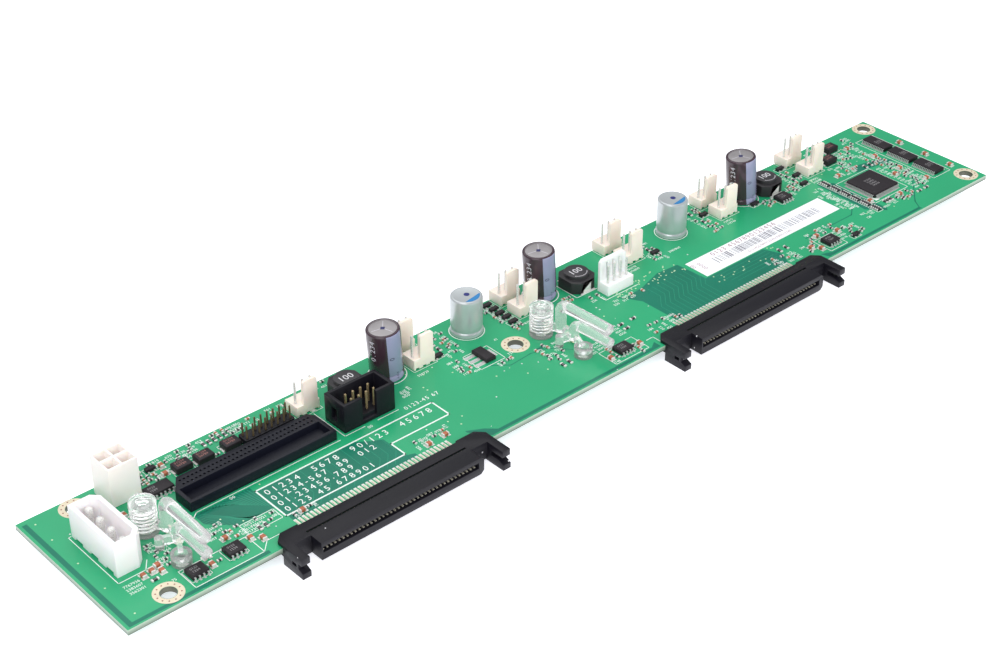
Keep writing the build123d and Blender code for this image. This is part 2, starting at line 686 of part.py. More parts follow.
# Light pipes: one clear moulding each, with posts, two bent rods and the web that joins them
led_places = []
for name, shift, turn in zip(("left", "right"), pipe_offsets, pipe_turns):
    turned = Plane(origin=spot(rib_post[0] + shift, rib_post[1], 0)).rotated((0, 0, turn))

    def stand(place, z=0.0):
        """A level plane of this assembly at height z, centred on a place of the left one."""
        return Plane(origin=turned.from_local_coords((place[0] - rib_post[0], place[1] - rib_post[1], z)),
                     x_dir=turned.x_dir, z_dir=(0, 0, 1))

    with BuildPart() as light_pipe:
        with BuildSketch(stand(rib_post)):
            Circle(rib_neck_r)
        extrude(amount=rib_post_h)
        ribs = row(rib_count, (rib_post_h - 3) / rib_count, rib_post_h / 2)
        with BuildSketch(*(stand(rib_post, z) for z in ribs), stand(rib_post, 0), stand(rib_post, rib_post_h - 1.2)):
            Circle(rib_post_r)
        extrude(amount=rib_t)
        with BuildSketch(stand(rib_post, rib_post_h - 1.2)):
            Circle(rib_post_r)
        extrude(amount=1.2)
        with BuildSketch(stand(rib_post, rib_post_h)):
            Circle(rib_bore)
        extrude(amount=-rib_bore_depth, mode=Mode.SUBTRACT)
        with BuildSketch(stand(low_post)):
            Circle(low_post_r)
        extrude(amount=low_post_h)
        with BuildSketch(stand(low_post, low_post_h)):
            Circle(low_post_bore)
        extrude(amount=-1.8, mode=Mode.SUBTRACT)
        with BuildSketch(stand(foot_post)):
            Circle(foot_post_r)
        extrude(amount=web_top)
        for place, radius, top, bend, end_y in ((upper_pipe, upper_pipe_r, upper_pipe_z, upper_bend, upper_end_y),
                                                (lower_pipe, lower_pipe_r, lower_pipe_z, lower_bend, lower_end_y)):
            base = stand(place, web_bottom)
            rise = top - web_bottom
            run = place[1] - end_y
            upright = Plane(origin=base.origin, x_dir=-base.y_dir, z_dir=-base.x_dir)
            with BuildLine(upright) as route:
                FilletPolyline((0, 0), (0, rise), (run, rise), radius=bend)
            with BuildSketch(base):
                Circle(radius)
            sweep(path=route.line)
        with BuildSketch(stand(rib_post, web_bottom)):
            with BuildLine() as web:
                Polyline((0, 0), (upper_pipe[0] - rib_post[0], upper_pipe[1] - rib_post[1]),
                         (lower_pipe[0] - rib_post[0], lower_pipe[1] - rib_post[1]),
                         (low_post[0] - rib_post[0], low_post[1] - rib_post[1]))
                Line((lower_pipe[0] - rib_post[0], lower_pipe[1] - rib_post[1]),
                     (foot_post[0] - rib_post[0], foot_post[1] - rib_post[1]))
            trace(line_width=web_t)
        extrude(amount=web_top - web_bottom)
        with BuildSketch(stand(low_post, low_post_h)):
            Circle(low_post_bore)
        extrude(amount=-1.8, mode=Mode.SUBTRACT)
        with BuildSketch(stand(rib_post), stand(low_post)):
            Circle(peg_r)
        extrude(amount=-peg_length)
    keep(light_pipe, f"light_pipe_{name}")
    for place in (rib_post, low_post):
        peg = stand(place).origin - spot(0, 0, 0)
        drilled.append((peg.X, peg.Y, peg_r + fit))
    for place in (upper_pipe, lower_pipe):
        led = stand(place).origin - spot(0, 0, 0)
        led_places.append((led.X, led.Y))
with BuildPart() as status_leds:
    with BuildSketch(level()):
        with Locations(*led_places):
            Rectangle(led_size[0], led_size[1])
    extrude(amount=led_size[2])
keep(status_leds, "status_leds")


def boxes(places, size, standoff=0.0, edge=0.0):
    """Plain blocks on the board, turned a quarter where their place says so."""
    with BuildPart() as blocks:
        with BuildSketch(level(standoff)):
            with Locations(*(Location((x, y, 0), (0, 0, 90 * turned)) for x, y, turned in places)):
                Rectangle(size[0], size[1])
        extrude(amount=size[2], clean=False)
        if edge:
            chamfer(blocks.faces().group_by(Axis.Z)[-1].edges(), edge)
    return blocks


def gull_leads(places, reach_in, count, pitch, width, reach, turns):
    """Bent leads on the sides of chips: reach_in from centre to body side, for each quarter turn."""
    t = chip_lead_t
    middle = chip_standoff + controller_size[2] / 2
    with BuildPart() as leads:
        for turn in turns:
            near = reach_in[turn % 2]
            faces = [Plane(origin=spot(x, y)).rotated((0, 0, 90 * turn)) for x, y in places]
            sides = [Plane(origin=face.from_local_coords((0, offset + width / 2, 0)), x_dir=face.x_dir,
                           z_dir=-face.y_dir) for face in faces for offset in row(count, pitch, 0)]
            with BuildSketch(*sides):
                with BuildLine():
                    Polyline((near, middle), (near, middle + t), (near + reach / 3 + t, middle + t),
                             (near + reach / 3 + t, t), (near + reach, t), (near + reach, 0),
                             (near + reach / 3, 0), (near + reach / 3, middle), close=True)
                make_face()
            extrude(amount=width, clean=False)
    return leads


# Voltage regulator
with BuildPart() as regulator:
    with BuildSketch(level(chip_lead_t)):
        with Locations((regulator_left, regulator_front)):
            Rectangle(regulator_body[0], regulator_body[1], align=(Align.MIN, Align.MIN))
    extrude(amount=regulator_body[2])
    chamfer(regulator.faces().sort_by(Axis.Z)[-1].edges(), 0.25)
keep(regulator, "voltage_regulator")
with BuildPart() as regulator_leads:
    regulator_y = regulator_front + regulator_body[1] / 2
    with BuildSketch(level()):
        with Locations(*((regulator_left, y) for y in row(3, regulator_lead_pitch, regulator_y))):
            Rectangle(regulator_lead_l, regulator_lead_w, align=(Align.MAX, Align.CENTER))
        with Locations((regulator_left + regulator_body[0], regulator_y)):
            Rectangle(regulator_tab_l, regulator_tab_w, align=(Align.MIN, Align.CENTER))
    extrude(amount=2 * chip_lead_t)
keep(regulator_leads, "regulator_leads")

# Controller with leads on four sides
with BuildPart() as controller_chip:
    with BuildSketch(level(chip_standoff)):
        with Locations(controller):
            body = Rectangle(controller_size[0], controller_size[1])
        chamfer(body.vertices(), 0.4)
    extrude(amount=controller_size[2])
    chamfer(controller_chip.faces().sort_by(Axis.Z)[-1].edges(), 0.15)
keep(controller_chip, "controller_chip")
keep(gull_leads([controller], (controller_size[0] / 2, controller_size[1] / 2), controller_side_leads,
                controller_pitch, controller_lead_w, gull_reach, range(4)), "controller_leads")

# Three buffer chips, the small chips and their leads
for number, y in enumerate(buffer_ys, 1):
    keep(boxes([(buffer_x, y, 0)], buffer_size, chip_standoff, 0.15), f"buffer_chip_{number}")
keep(gull_leads([(buffer_x, y) for y in buffer_ys], (buffer_size[0] / 2, buffer_size[1] / 2), buffer_leads,
                buffer_pitch, buffer_lead_w, gull_reach, (0, 2)), "buffer_chip_leads")
with BuildPart() as small_chips:
    add(boxes([(x, y, 0) for x, y in soics], soic_size, chip_standoff).part, clean=False)
    add(boxes([(*logic_chip, 0)], logic_size, chip_standoff).part, clean=False)
keep(small_chips, "small_chips")
with BuildPart() as small_chip_leads:
    for places, size, count in ((soics, soic_size, soic_leads), ([logic_chip], logic_size, logic_leads)):
        add(gull_leads(places, (size[0] / 2, size[1] / 2), count, soic_pitch, soic_lead_w, soic_gull, (1, 3)).part,
            clean=False)
keep(small_chip_leads, "small_chip_leads")

# Small surface parts, each kind as a group of separate solids
keep(boxes(ceramics, (ceramic_size[0] - 2 * ceramic_end, ceramic_size[1], ceramic_size[2])), "ceramic_capacitors")
end_shift = (ceramic_size[0] - ceramic_end) / 2
ceramic_end_places = [(x, y + hand * end_shift, 1) if turned else (x + hand * end_shift, y, 0)
                      for x, y, turned in ceramics for hand in (-1, 1)]
keep(boxes(ceramic_end_places, (ceramic_end, ceramic_size[1], ceramic_size[2])), "ceramic_capacitor_ends")
keep(boxes(resistors, resistor_size), "chip_resistors")
keep(boxes([(array_x, y, 0) for y in array_ys], array_size), "resistor_arrays")
keep(boxes([(x, y, 0) for x, y in transistors], transistor_size), "transistors")
keep(boxes([(x, y, 0) for x, y in diode_places], diode_size), "power_diodes")

# Paper sticker
with BuildPart() as part_label:
    with BuildSketch(level()):
        with Locations((label_left, label_front)):
            Rectangle(*label_size, align=(Align.MIN, Align.MIN))
    extrude(amount=label_t)
keep(part_label, "part_label")

# Circuit board with every hole that the pieces above need
with BuildPart() as circuit_board:
    with BuildSketch(level(-board_t)):
        Rectangle(board_length, board_width, align=(Align.MIN, Align.MIN))
        with Locations(*((x, y) for x in (hole_left, hole_left + hole_pitch_x)
                         for y in (hole_front, hole_front + hole_pitch_y))):
            Circle(hole_r, mode=Mode.SUBTRACT)
        with Locations(centre_hole):
            Circle(centre_hole_r, mode=Mode.SUBTRACT)
        for radius in sorted({r for _, _, r in drilled}):
            with Locations(*((x, y) for x, y, r in drilled if r == radius)):
                Circle(radius, mode=Mode.SUBTRACT)
    extrude(amount=board_t)
keep(circuit_board, "circuit_board")
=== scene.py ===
"""Looks of a drive backplane board: solder mask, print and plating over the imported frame,
rounded housings, cans, coils and light pipes, and the stage that they are shown on."""

import random
from math import atan2, cos, degrees, hypot, pi, radians, sin

import bpy
from bpy.props import FloatProperty, FloatVectorProperty, IntProperty, PointerProperty
from mathutils import Matrix, Vector


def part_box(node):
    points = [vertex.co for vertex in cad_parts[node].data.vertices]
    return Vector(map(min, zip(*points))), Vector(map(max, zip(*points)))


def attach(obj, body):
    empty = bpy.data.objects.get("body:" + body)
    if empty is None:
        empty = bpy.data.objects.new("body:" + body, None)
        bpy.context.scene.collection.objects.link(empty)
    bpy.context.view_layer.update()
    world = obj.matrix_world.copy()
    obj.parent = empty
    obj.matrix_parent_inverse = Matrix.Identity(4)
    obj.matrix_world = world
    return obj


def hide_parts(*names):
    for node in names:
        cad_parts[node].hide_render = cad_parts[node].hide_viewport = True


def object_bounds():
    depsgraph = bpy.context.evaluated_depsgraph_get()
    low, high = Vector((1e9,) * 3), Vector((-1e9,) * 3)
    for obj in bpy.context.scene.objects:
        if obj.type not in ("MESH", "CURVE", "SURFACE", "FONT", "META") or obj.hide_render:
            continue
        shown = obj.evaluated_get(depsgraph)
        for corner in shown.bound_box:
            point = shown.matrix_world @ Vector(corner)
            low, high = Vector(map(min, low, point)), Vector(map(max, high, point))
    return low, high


bl_info = {
    "name": "Drive backplane board",
    "version": (1, 0, 0),
    "blender": (4, 5, 0),
    "location": "3D View > Sidebar > Backplane",
    "description": "Dresses the packed drive backplane board",
    "category": "Object",
}

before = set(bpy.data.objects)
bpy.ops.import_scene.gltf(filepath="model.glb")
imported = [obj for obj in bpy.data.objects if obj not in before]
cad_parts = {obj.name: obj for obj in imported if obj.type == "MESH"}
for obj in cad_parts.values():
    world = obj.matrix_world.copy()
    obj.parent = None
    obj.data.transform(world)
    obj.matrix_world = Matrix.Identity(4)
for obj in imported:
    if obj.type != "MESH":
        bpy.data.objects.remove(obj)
cad_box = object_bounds()
board_low, board_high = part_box("circuit_board")
MM = 0.001
LENGTH = (board_high.x - board_low.x) / MM
REAR = (board_high.y - board_low.y) / MM
THICK = (board_high.z - board_low.z) / MM


# Places and shapes

def spot(x, y, z=0.0):
    """The frame's point for a place on the board: millimetres from its front left corner and its top."""
    return Vector((board_low.x + x * MM, board_low.y + y * MM, board_high.z + z * MM))


def place_of(point):
    """Board place, in millimetres, of a point of the frame."""
    return Vector(((point[0] - board_low.x) / MM, (point[1] - board_low.y) / MM, (point[2] - board_high.z) / MM))


def solids_of(node):
    """The lowest and highest board place of each separate solid in a CAD node."""
    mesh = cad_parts[node].data
    home = {}
    owner = []
    for v in mesh.vertices:
        key = tuple(round(c, 7) for c in v.co)
        owner.append(home.setdefault(key, len(home)))
    parent = list(range(len(home)))

    def root(i):
        while parent[i] != i:
            parent[i] = parent[parent[i]]
            i = parent[i]
        return i

    for face in mesh.polygons:
        first = root(owner[face.vertices[0]])
        for v in face.vertices[1:]:
            parent[root(owner[v])] = first
    boxes = {}
    for key, i in home.items():
        p = place_of(key)
        low, high = boxes.setdefault(root(i), (p.copy(), p.copy()))
        for axis in range(3):
            low[axis] = min(low[axis], p[axis])
            high[axis] = max(high[axis], p[axis])
    return sorted(boxes.values(), key=lambda b: (round(b[0].x, 3), round(b[0].y, 3)))


def middle_of(low, high):
    """The board x and y midway between two places."""
    return (low.x + high.x) / 2, (low.y + high.y) / 2


def nothing_selected():
    """Leave edit mode and deselect every object."""
    if bpy.context.object and bpy.context.object.mode != "OBJECT":
        bpy.ops.object.mode_set(mode="OBJECT")
    bpy.ops.object.select_all(action="DESELECT")


def start_mesh():
    """An empty mesh at the frame's origin, open in edit mode."""
    nothing_selected()
    bpy.ops.object.add(type="MESH", location=(0, 0, 0), enter_editmode=True)
    return bpy.context.object


def only(piece):
    """Select one object and make it active."""
    nothing_selected()
    piece.select_set(True)
    bpy.context.view_layer.objects.active = piece


def modify(piece, kind, **settings):
    """Add a modifier with these settings and apply it."""
    only(piece)
    modifier = piece.modifiers.new(kind.title(), kind)
    for key, value in settings.items():
        setattr(modifier, key, value)
    bpy.ops.object.modifier_apply(modifier=modifier.name)


def finish(piece, name, slot, *materials, nodes=(), smooth=None):
    """Place, name and clothe a new piece, which rides on the board."""
    only(piece)
    bpy.ops.object.transform_apply(location=True, rotation=True, scale=True)
    if smooth:
        bpy.ops.object.shade_smooth_by_angle(angle=radians(smooth))
    piece.name = piece.data.name = name
    piece.data.materials.clear()
    for material in materials:
        piece.data.materials.append(material)
    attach(piece, "root")
    if nodes:
        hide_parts(*nodes)
    return piece


def plates(places, thick):
    """Thin plates in the open mesh: (x, y, z, length, width, turn) each, z being the underside."""
    for x, y, z, length, width, turn in places:
        bpy.ops.mesh.primitive_cube_add(size=1, location=spot(x, y, z + thick / 2), rotation=(0, 0, radians(turn)),
                                        scale=(length * MM, width * MM, thick * MM))


def plates_piece(places, thick):
    """Thin plates as a mesh of their own."""
    start_mesh()
    plates(places, thick)
    piece = bpy.context.object
    nothing_selected()
    return piece


def lines_piece(lines, z, thick):
    """Plates along several lines as one mesh: (board places, width, and whether the line is closed) each."""
    return plates_piece([plate for line in lines for plate in line_plates(z, *line)], thick)


def line_plates(z, points, width, closed=False):
    """Plates along a line of board places, each lengthened by half its width at both ends."""
    ends = list(zip(points, points[1:] + points[:1] if closed else points[1:]))
    made = []
    for (x0, y0), (x1, y1) in ends:
        made.append(((x0 + x1) / 2, (y0 + y1) / 2, z, hypot(x1 - x0, y1 - y0) + width, width,
                     degrees(atan2(y1 - y0, x1 - x0))))
    return made


def turned(profile, place, segments=48):
    """A turned solid in the open mesh: a disc drawn upwards through (radius, height) rings, closed at the top."""
    x, y = place
    radius, height = profile[0]
    bpy.ops.mesh.primitive_circle_add(vertices=segments, radius=radius * MM, fill_type="NGON",
                                      location=spot(x, y, height), rotation=(pi, 0, 0))
    for (r0, z0), (r1, z1) in zip(profile, profile[1:]):
        bpy.ops.mesh.extrude_region_move(TRANSFORM_OT_translate={"value": (0, 0, (z1 - z0) * MM)})
        bpy.ops.transform.resize(value=(r1 / r0, r1 / r0, 1), center_override=spot(x, y, z1))


def washer(place, inner, outer, low, high, segments=40):
    """A flat ring in the open mesh, drawn round its hole as one closed wall."""
    x, y = place
    bpy.ops.mesh.primitive_torus_add(major_radius=(inner + outer) / 2 * MM, minor_radius=(outer - inner) / 2 * MM,
                                     major_segments=segments, minor_segments=4, location=spot(x, y, (low + high) / 2))
    bpy.ops.transform.resize(value=(1, 1, (high - low) / (outer - inner)),
                             center_override=spot(x, y, (low + high) / 2))


def flat(outlines, z, thick):
    """A flat curve with these closed outlines, made a mesh of this thickness."""
    nothing_selected()
    curve = bpy.data.curves.new("outline", "CURVE")
    curve.dimensions = "2D"
    curve.fill_mode = "BOTH"
    curve.extrude = thick / 2 * MM
    for outline in outlines:
        spline = curve.splines.new("POLY")
        spline.points.add(len(outline) - 1)
        for point, (x, y) in zip(spline.points, outline):
            point.co = (x * MM, y * MM, 0, 1)
        spline.use_cyclic_u = True
    piece = bpy.data.objects.new("outline", curve)
    bpy.context.scene.collection.objects.link(piece)
    only(piece)
    bpy.ops.object.convert(target="MESH")
    piece = bpy.context.object
    piece.location = spot(0, 0, z + thick / 2)
    return piece


def words(lines, thick=0.02):
    """Plain digits as one mesh: (text, x, y, z, height, turn, spacing) each."""
    nothing_selected()
    made = []
    for text, x, y, z, height, turn, spacing in lines:
        bpy.ops.object.text_add(location=spot(x, y, z), rotation=(0, 0, radians(turn)))
        words_piece = bpy.context.object
        words_piece.data.body = text
        words_piece.data.size = height / 0.72 * MM
        words_piece.data.space_character = spacing
        words_piece.data.resolution_u = 2
        words_piece.data.extrude = thick / 2 * MM
        made.append(words_piece)
    nothing_selected()
    for words_piece in made:
        words_piece.select_set(True)
    bpy.context.view_layer.objects.active = made[0]
    bpy.ops.object.convert(target="MESH")
    bpy.ops.object.join()
    return bpy.context.object


def joined(*pieces):
    """Several meshes as one."""
    nothing_selected()
    for piece in pieces:
        piece.select_set(True)
    bpy.context.view_layer.objects.active = pieces[0]
    bpy.ops.object.join()
    return bpy.context.object


def softened(node, slot, *materials, width=0.12, segments=2, angle=35.0):
    """A copy of a CAD node with rounded edges, which stands for it."""
    piece = bpy.data.objects.new(node + "_body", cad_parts[node].data.copy())
    bpy.context.scene.collection.objects.link(piece)
    only(piece)
    bpy.ops.object.mode_set(mode="EDIT")
    bpy.ops.mesh.select_all(action="SELECT")
    bpy.ops.mesh.remove_doubles(threshold=1e-6)
    bpy.ops.mesh.dissolve_limited(angle_limit=radians(0.6))
    bpy.ops.object.mode_set(mode="OBJECT")
    modify(piece, "BEVEL", width=width * MM, segments=segments, limit_method="ANGLE", angle_limit=radians(angle),
           use_clamp_overlap=True, loop_slide=False)
    return finish(piece, node + "_body", slot, *materials, nodes=(node,), smooth=35)


def paint(node, material):
    """Give a CAD node that stays a finish of its own."""
    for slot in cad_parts[node].material_slots:
        slot.material = material


def faces_of(piece, material_index, test):
    """Give faces a second finish where test(centre in board places, normal) holds."""
    for face in piece.data.polygons:
        if test(place_of(face.center), face.normal):
            face.material_index = material_index


# Finishes

def group(name, inputs, outputs, build):
    """A shader node group with these sockets, built once."""
    tree = bpy.data.node_groups.new(name, "ShaderNodeTree")
    for label, kind, value in inputs:
        socket = tree.interface.new_socket(name=label, in_out="INPUT", socket_type=kind)
        if value is not None:
            socket.default_value = value
    for label, kind in outputs:
        tree.interface.new_socket(name=label, in_out="OUTPUT", socket_type=kind)
    build(tree, tree.nodes.new("NodeGroupInput"), tree.nodes.new("NodeGroupOutput"))
    return tree


def node(tree, kind, links=None, **settings):
    """A node with its settings, and links or values for its inputs."""
    made = tree.nodes.new(kind)
    for key, value in settings.items():
        setattr(made, key, value)
    for key, value in (links or {}).items():
        socket = made.inputs[key]
        if isinstance(value, bpy.types.NodeSocket):
            tree.links.new(value, socket)
        else:
            socket.default_value = value
    return made


def larger(tree, first, second):
    """The larger of two values."""
    return node(tree, "ShaderNodeMath", {0: first, 1: second}, operation="MAXIMUM").outputs[0]


def build_grain(tree, inside, out):
    """Fine moulded or cast grain, with slow cloudy change of tone and gloss."""
    fine = node(tree, "ShaderNodeTexNoise", {"Vector": inside.outputs["Place"], "Scale": inside.outputs["Fine"],
                                             "Detail": 3.0})
    broad = node(tree, "ShaderNodeTexNoise", {"Vector": inside.outputs["Place"], "Scale": inside.outputs["Broad"],
                                              "Detail": 2.0})
    tone = node(tree, "ShaderNodeMapRange", {"Value": broad.outputs["Fac"], "From Min": 0.3, "From Max": 0.7,
                                             "To Min": 0.0, "To Max": 1.0})
    colour = node(tree, "ShaderNodeMix", {0: tone.outputs["Result"], 6: inside.outputs["Dark"],
                                          7: inside.outputs["Light"]}, data_type="RGBA")
    swing = node(tree, "ShaderNodeMapRange", {"Value": fine.outputs["Fac"], "From Min": 0.3, "From Max": 0.7,
                                              "To Min": inside.outputs["Rough Low"],
                                              "To Max": inside.outputs["Rough High"]})
    tree.links.new(colour.outputs[2], out.inputs["Colour"])
    tree.links.new(swing.outputs["Result"], out.inputs["Roughness"])
    tree.links.new(fine.outputs["Fac"], out.inputs["Height"])


def build_dust(tree, inside, out):
    """Sparse pale specks of dust."""
    cells = node(tree, "ShaderNodeTexVoronoi", {"Vector": inside.outputs["Place"], "Scale": inside.outputs["Scale"]})
    near = node(tree, "ShaderNodeMath", {0: cells.outputs["Distance"], 1: inside.outputs["Size"]},
                operation="LESS_THAN")
    pick = node(tree, "ShaderNodeSeparateColor", {"Color": cells.outputs["Color"]})
    few = node(tree, "ShaderNodeMath", {0: pick.outputs[0], 1: inside.outputs["Share"]}, operation="LESS_THAN")
    mask = node(tree, "ShaderNodeMath", {0: near.outputs[0], 1: few.outputs[0]}, operation="MULTIPLY")
    tree.links.new(mask.outputs[0], out.inputs["Mask"])


FLOAT, COLOUR, VECTOR = "NodeSocketFloat", "NodeSocketColor", "NodeSocketVector"
groups = {}
finishes = {}


def make_groups():
    """The shader effects that several finishes share."""
    groups["grain"] = group("surface_grain", [
        ("Place", VECTOR, None), ("Fine", FLOAT, 4000.0), ("Broad", FLOAT, 90.0), ("Dark", COLOUR, None),
        ("Light", COLOUR, None), ("Rough Low", FLOAT, 0.35), ("Rough High", FLOAT, 0.5)],
        [("Colour", COLOUR), ("Roughness", FLOAT), ("Height", FLOAT)], build_grain)
    groups["dust"] = group("dust_specks", [("Place", VECTOR, None), ("Scale", FLOAT, 500.0), ("Size", FLOAT, 0.12),
                                           ("Share", FLOAT, 0.1)], [("Mask", FLOAT)], build_dust)


def srgb(red, green, blue):
    """A linear colour from its 0 to 255 display values."""
    return tuple((c / 255 / 12.92) if c <= 10 else ((c / 255 + 0.055) / 1.055) ** 2.4 for c in (red, green, blue))


def shade(colour, factor):
    """A colour made darker or lighter."""
    return tuple(min(1.0, c * factor) for c in colour[:3]) + (1.0,)


def finish_of(name, colour, spread=0.06, rough=(0.35, 0.5), fine=4000.0, broad=90.0, bump=0.1, depth=0.02,
              dust=0.0, **constants):
    """A material with grain, cloudy tone and, where it is asked for, dust; constants stand on the shader's sockets."""
    if name in finishes:
        return finishes[name]
    material = bpy.data.materials.new(name)
    material.use_nodes = True
    tree = material.node_tree
    shader = tree.nodes["Principled BSDF"]
    place = node(tree, "ShaderNodeTexCoord").outputs["Object"]
    grain = node(tree, "ShaderNodeGroup", node_tree=groups["grain"])
    tree.links.new(place, grain.inputs["Place"])
    for key, value in {"Fine": fine, "Broad": broad, "Dark": shade(colour, 1 - spread),
                       "Light": shade(colour, 1 + spread), "Rough Low": rough[0], "Rough High": rough[1]}.items():
        grain.inputs[key].default_value = value
    tone = grain.outputs["Colour"]
    if dust:
        specks = node(tree, "ShaderNodeGroup", node_tree=groups["dust"])
        tree.links.new(place, specks.inputs["Place"])
        specks.inputs["Share"].default_value = dust
        tone = node(tree, "ShaderNodeMix", {0: specks.outputs["Mask"], 6: tone, 7: (0.75, 0.75, 0.78, 1)},
                    data_type="RGBA").outputs[2]
    tree.links.new(tone, shader.inputs["Base Color"])
    tree.links.new(grain.outputs["Roughness"], shader.inputs["Roughness"])
    relief = node(tree, "ShaderNodeBump", {"Height": grain.outputs["Height"], "Strength": bump,
                                           "Distance": depth * MM})
    tree.links.new(relief.outputs["Normal"], shader.inputs["Normal"])
    for key, value in constants.items():
        shader.inputs[key.replace("_", " ").title().replace("Ior", "IOR")].default_value = value
    finishes[name] = material
    return material


def board_finish(settings):
    """Solder mask on the faces of the board and bare glass laminate on its edges, the edges darkened towards the
    underside as painted shade.
    """
    material = finish_of("solder_mask", settings.mask_colour, 0.05, (0.28, 0.36), 2600.0, 26.0, 0.06, 0.03, 0.04,
                         coat_weight=0.1, coat_roughness=0.12, specular_ior_level=0.35)
    tree = material.node_tree
    shader = tree.nodes["Principled BSDF"]
    tone = shader.inputs["Base Color"].links[0].from_socket
    place = node(tree, "ShaderNodeTexCoord").outputs["Object"]
    faces = node(tree, "ShaderNodeSeparateXYZ", {0: node(tree, "ShaderNodeNewGeometry").outputs["Normal"]})
    upright = node(tree, "ShaderNodeMath", {0: node(tree, "ShaderNodeMath", {0: faces.outputs[2]},
                                                    operation="ABSOLUTE").outputs[0], 1: 0.5}, operation="LESS_THAN")
    layers = node(tree, "ShaderNodeTexNoise", {"Vector": node(tree, "ShaderNodeMapping", {
        "Vector": place, "Scale": (120, 120, 6000)}).outputs[0], "Scale": 1.0})
    # Painted shade: the bare edge runs from a dark copy of its colour at the underside to a light copy at the top,
    # mixed with the laminate's layers.
    height = node(tree, "ShaderNodeSeparateXYZ", {0: place}).outputs[2]
    height = node(tree, "ShaderNodeMapRange", {"Value": height, "From Min": board_low.z, "From Max": board_high.z,
                                               "To Min": -0.2, "To Max": 0.8})
    layers_and_painted_shade = node(tree, "ShaderNodeMath", {0: layers.outputs["Fac"], 1: 0.4, 2: height.outputs[0]},
                 operation="MULTIPLY_ADD")
    rim_with_painted_shade = node(tree, "ShaderNodeMix", {0: layers_and_painted_shade.outputs[0], 6: shade(settings.rim_colour, 0.3),
                                       7: shade(settings.rim_colour, 1.1)}, data_type="RGBA")
    tone = node(tree, "ShaderNodeMix", {0: upright.outputs[0], 6: tone, 7: rim_with_painted_shade.outputs[2]}, data_type="RGBA")
    tree.links.new(tone.outputs[2], shader.inputs["Base Color"])
    return material


def black():
    """Black plastic of the sockets and pin headers."""
    return finish_of("black_nylon", bpy.context.scene.housing_settings.black, 0.12, (0.34, 0.46), 3500.0, 60.0, 0.25,
                     0.02, 0.05, specular_ior_level=0.3)


def pale_nylon(name, colour, spread, rough, weight, scale):
    """White or cream plastic that light enters a little."""
    return finish_of(name, colour, spread, rough, 3000.0, 80.0, 0.15, 0.02, subsurface_weight=weight,
                     subsurface_scale=scale)


def gold():
    """Gold plate of the box header's pins."""
    return finish_of("gold_plate", srgb(182, 162, 124), 0.05, (0.2, 0.3), 5000.0, 200.0, 0.05, metallic=0.5)


def tin():
    """Tin on pins, pads and part ends."""
    return finish_of("tinned_metal", srgb(226, 226, 222), 0.08, (0.22, 0.4), 3000.0, 400.0, 0.15, metallic=0.25)


def ink():
    """White ink of the printed marks."""
    return finish_of("silk_ink", bpy.context.scene.board_settings.ink_colour, 0.03, (0.5, 0.65), 5000.0, 300.0)


def chip_black():
    """Moulded body of chips and diodes."""
    return finish_of("chip_plastic", srgb(40, 35, 40), 0.08, (0.42, 0.55), 6000.0, 150.0, 0.3, 0.02, 0.03,
                     specular_ior_level=0.35)


def chip_mark():
    """Grey print on chips and resistors."""
    return finish_of("chip_marking", srgb(150, 148, 150), 0.05, (0.5, 0.6), 6000.0, 200.0)


# Where things are on the board, in millimetres

HOLES = [(14.5, 4.9), (LENGTH - 4.5, 4.9), (LENGTH - 4.5, REAR - 3.9), (14.5, REAR - 3.9)]
CENTRE_HOLE = (147.6, 28.8)
SOCKETS = {"left": 78.07, "right": 214.37}  # middle of each row of contacts
LEAD_PITCH = 1.27
DARK_AREAS = [  # where a plane of copper is missing under the mask, as outlines
    [(0.9, 0.6), (41.5, 0.6), (41.5, 1.8), (2.3, 1.8), (2.3, REAR - 1.6), (0.9, REAR - 1.6)],
    [(114.0, 0.6), (178.0, 0.6), (178.0, 3.4), (175.5, 1.8), (117.0, 1.8), (114.2, 4.4), (109.6, 6.9), (109.6, 6.0)],
    [(252.0, 0.6), (297.5, 0.6), (297.0, 1.6), (255.0, 1.8), (251.0, 3.4)],
    [(35.4, 25.2), (52.4, 25.2), (52.4, 14.4), (47.0, 14.4), (41.6, 14.6), (35.4, 20.6)],
    [(53.0, 22.6), (84.6, 22.6), (88.0, 20.2), (91.0, 18.6), (91.0, 9.2), (93.4, 8.2), (93.4, 6.9), (53.0, 6.9)],
    [(188.3, 25.4), (196.6, 26.4), (205.4, 29.0), (213.6, 28.4), (214.4, 17.2), (240.0, 17.2), (242.5, 11.4),
     (240.0, 6.9), (191.2, 6.9), (191.0, 20.7)],
    [(300.4, 33.6), (314.6, 30.2), (316.0, 26.8), (308.4, 28.2), (300.4, 29.6)],
    [(283.0, 12.0), (288.0, 7.0), (289.0, 8.0), (289.0, 30.0), (284.0, 33.0)],
]
COPPER_GAPS = [  # narrow gaps in the copper under the mask: (places, width)
    ([(135.4, 25.4), (139.7, 21.9), (147.5, 22.5), (153.2, 21.2), (160.0, 14.0)], 0.3),
    ([(255.0, 12.7), (277.0, 12.7), (281.0, 15.6)], 0.35),
    ([(297.2, 1.6), (299.3, 4.8), (312.5, 16.3)], 0.35),
    ([(150.8, 22.6), (151.8, 22.6)], 1.2),
    ([(276.9, 21.9), (276.9, 24.0)], 0.3),
    ([(187.0, 26.9), (192.0, 21.5)], 0.5),
]
TALL_CANS = [(111.0, 10.1, -1.0, 0.0), (170.9, 8.1, -1.0, 0.0), (258.9, 8.5, -1.4, 0.5)]  # x, inset at the rear, lean
STRIPE_MIDDLE = radians(-87)
SHORT_CANS = [(142.0, 8.1), (226.4, 8.3)]
CHOKES = [(97.4, 9.7), (182.6, 11.3), (268.9, 9.4)]
PRINT_Z, PRINT_T = 0.012, 0.02  # height of the printed marks over the board, and their thickness
TITLE_BOX = [(52.7, 9.6), (52.7, 22.9), (111.5, 22.9), (111.5, 15.6), (91.3, 15.6), (91.3, 9.6)]
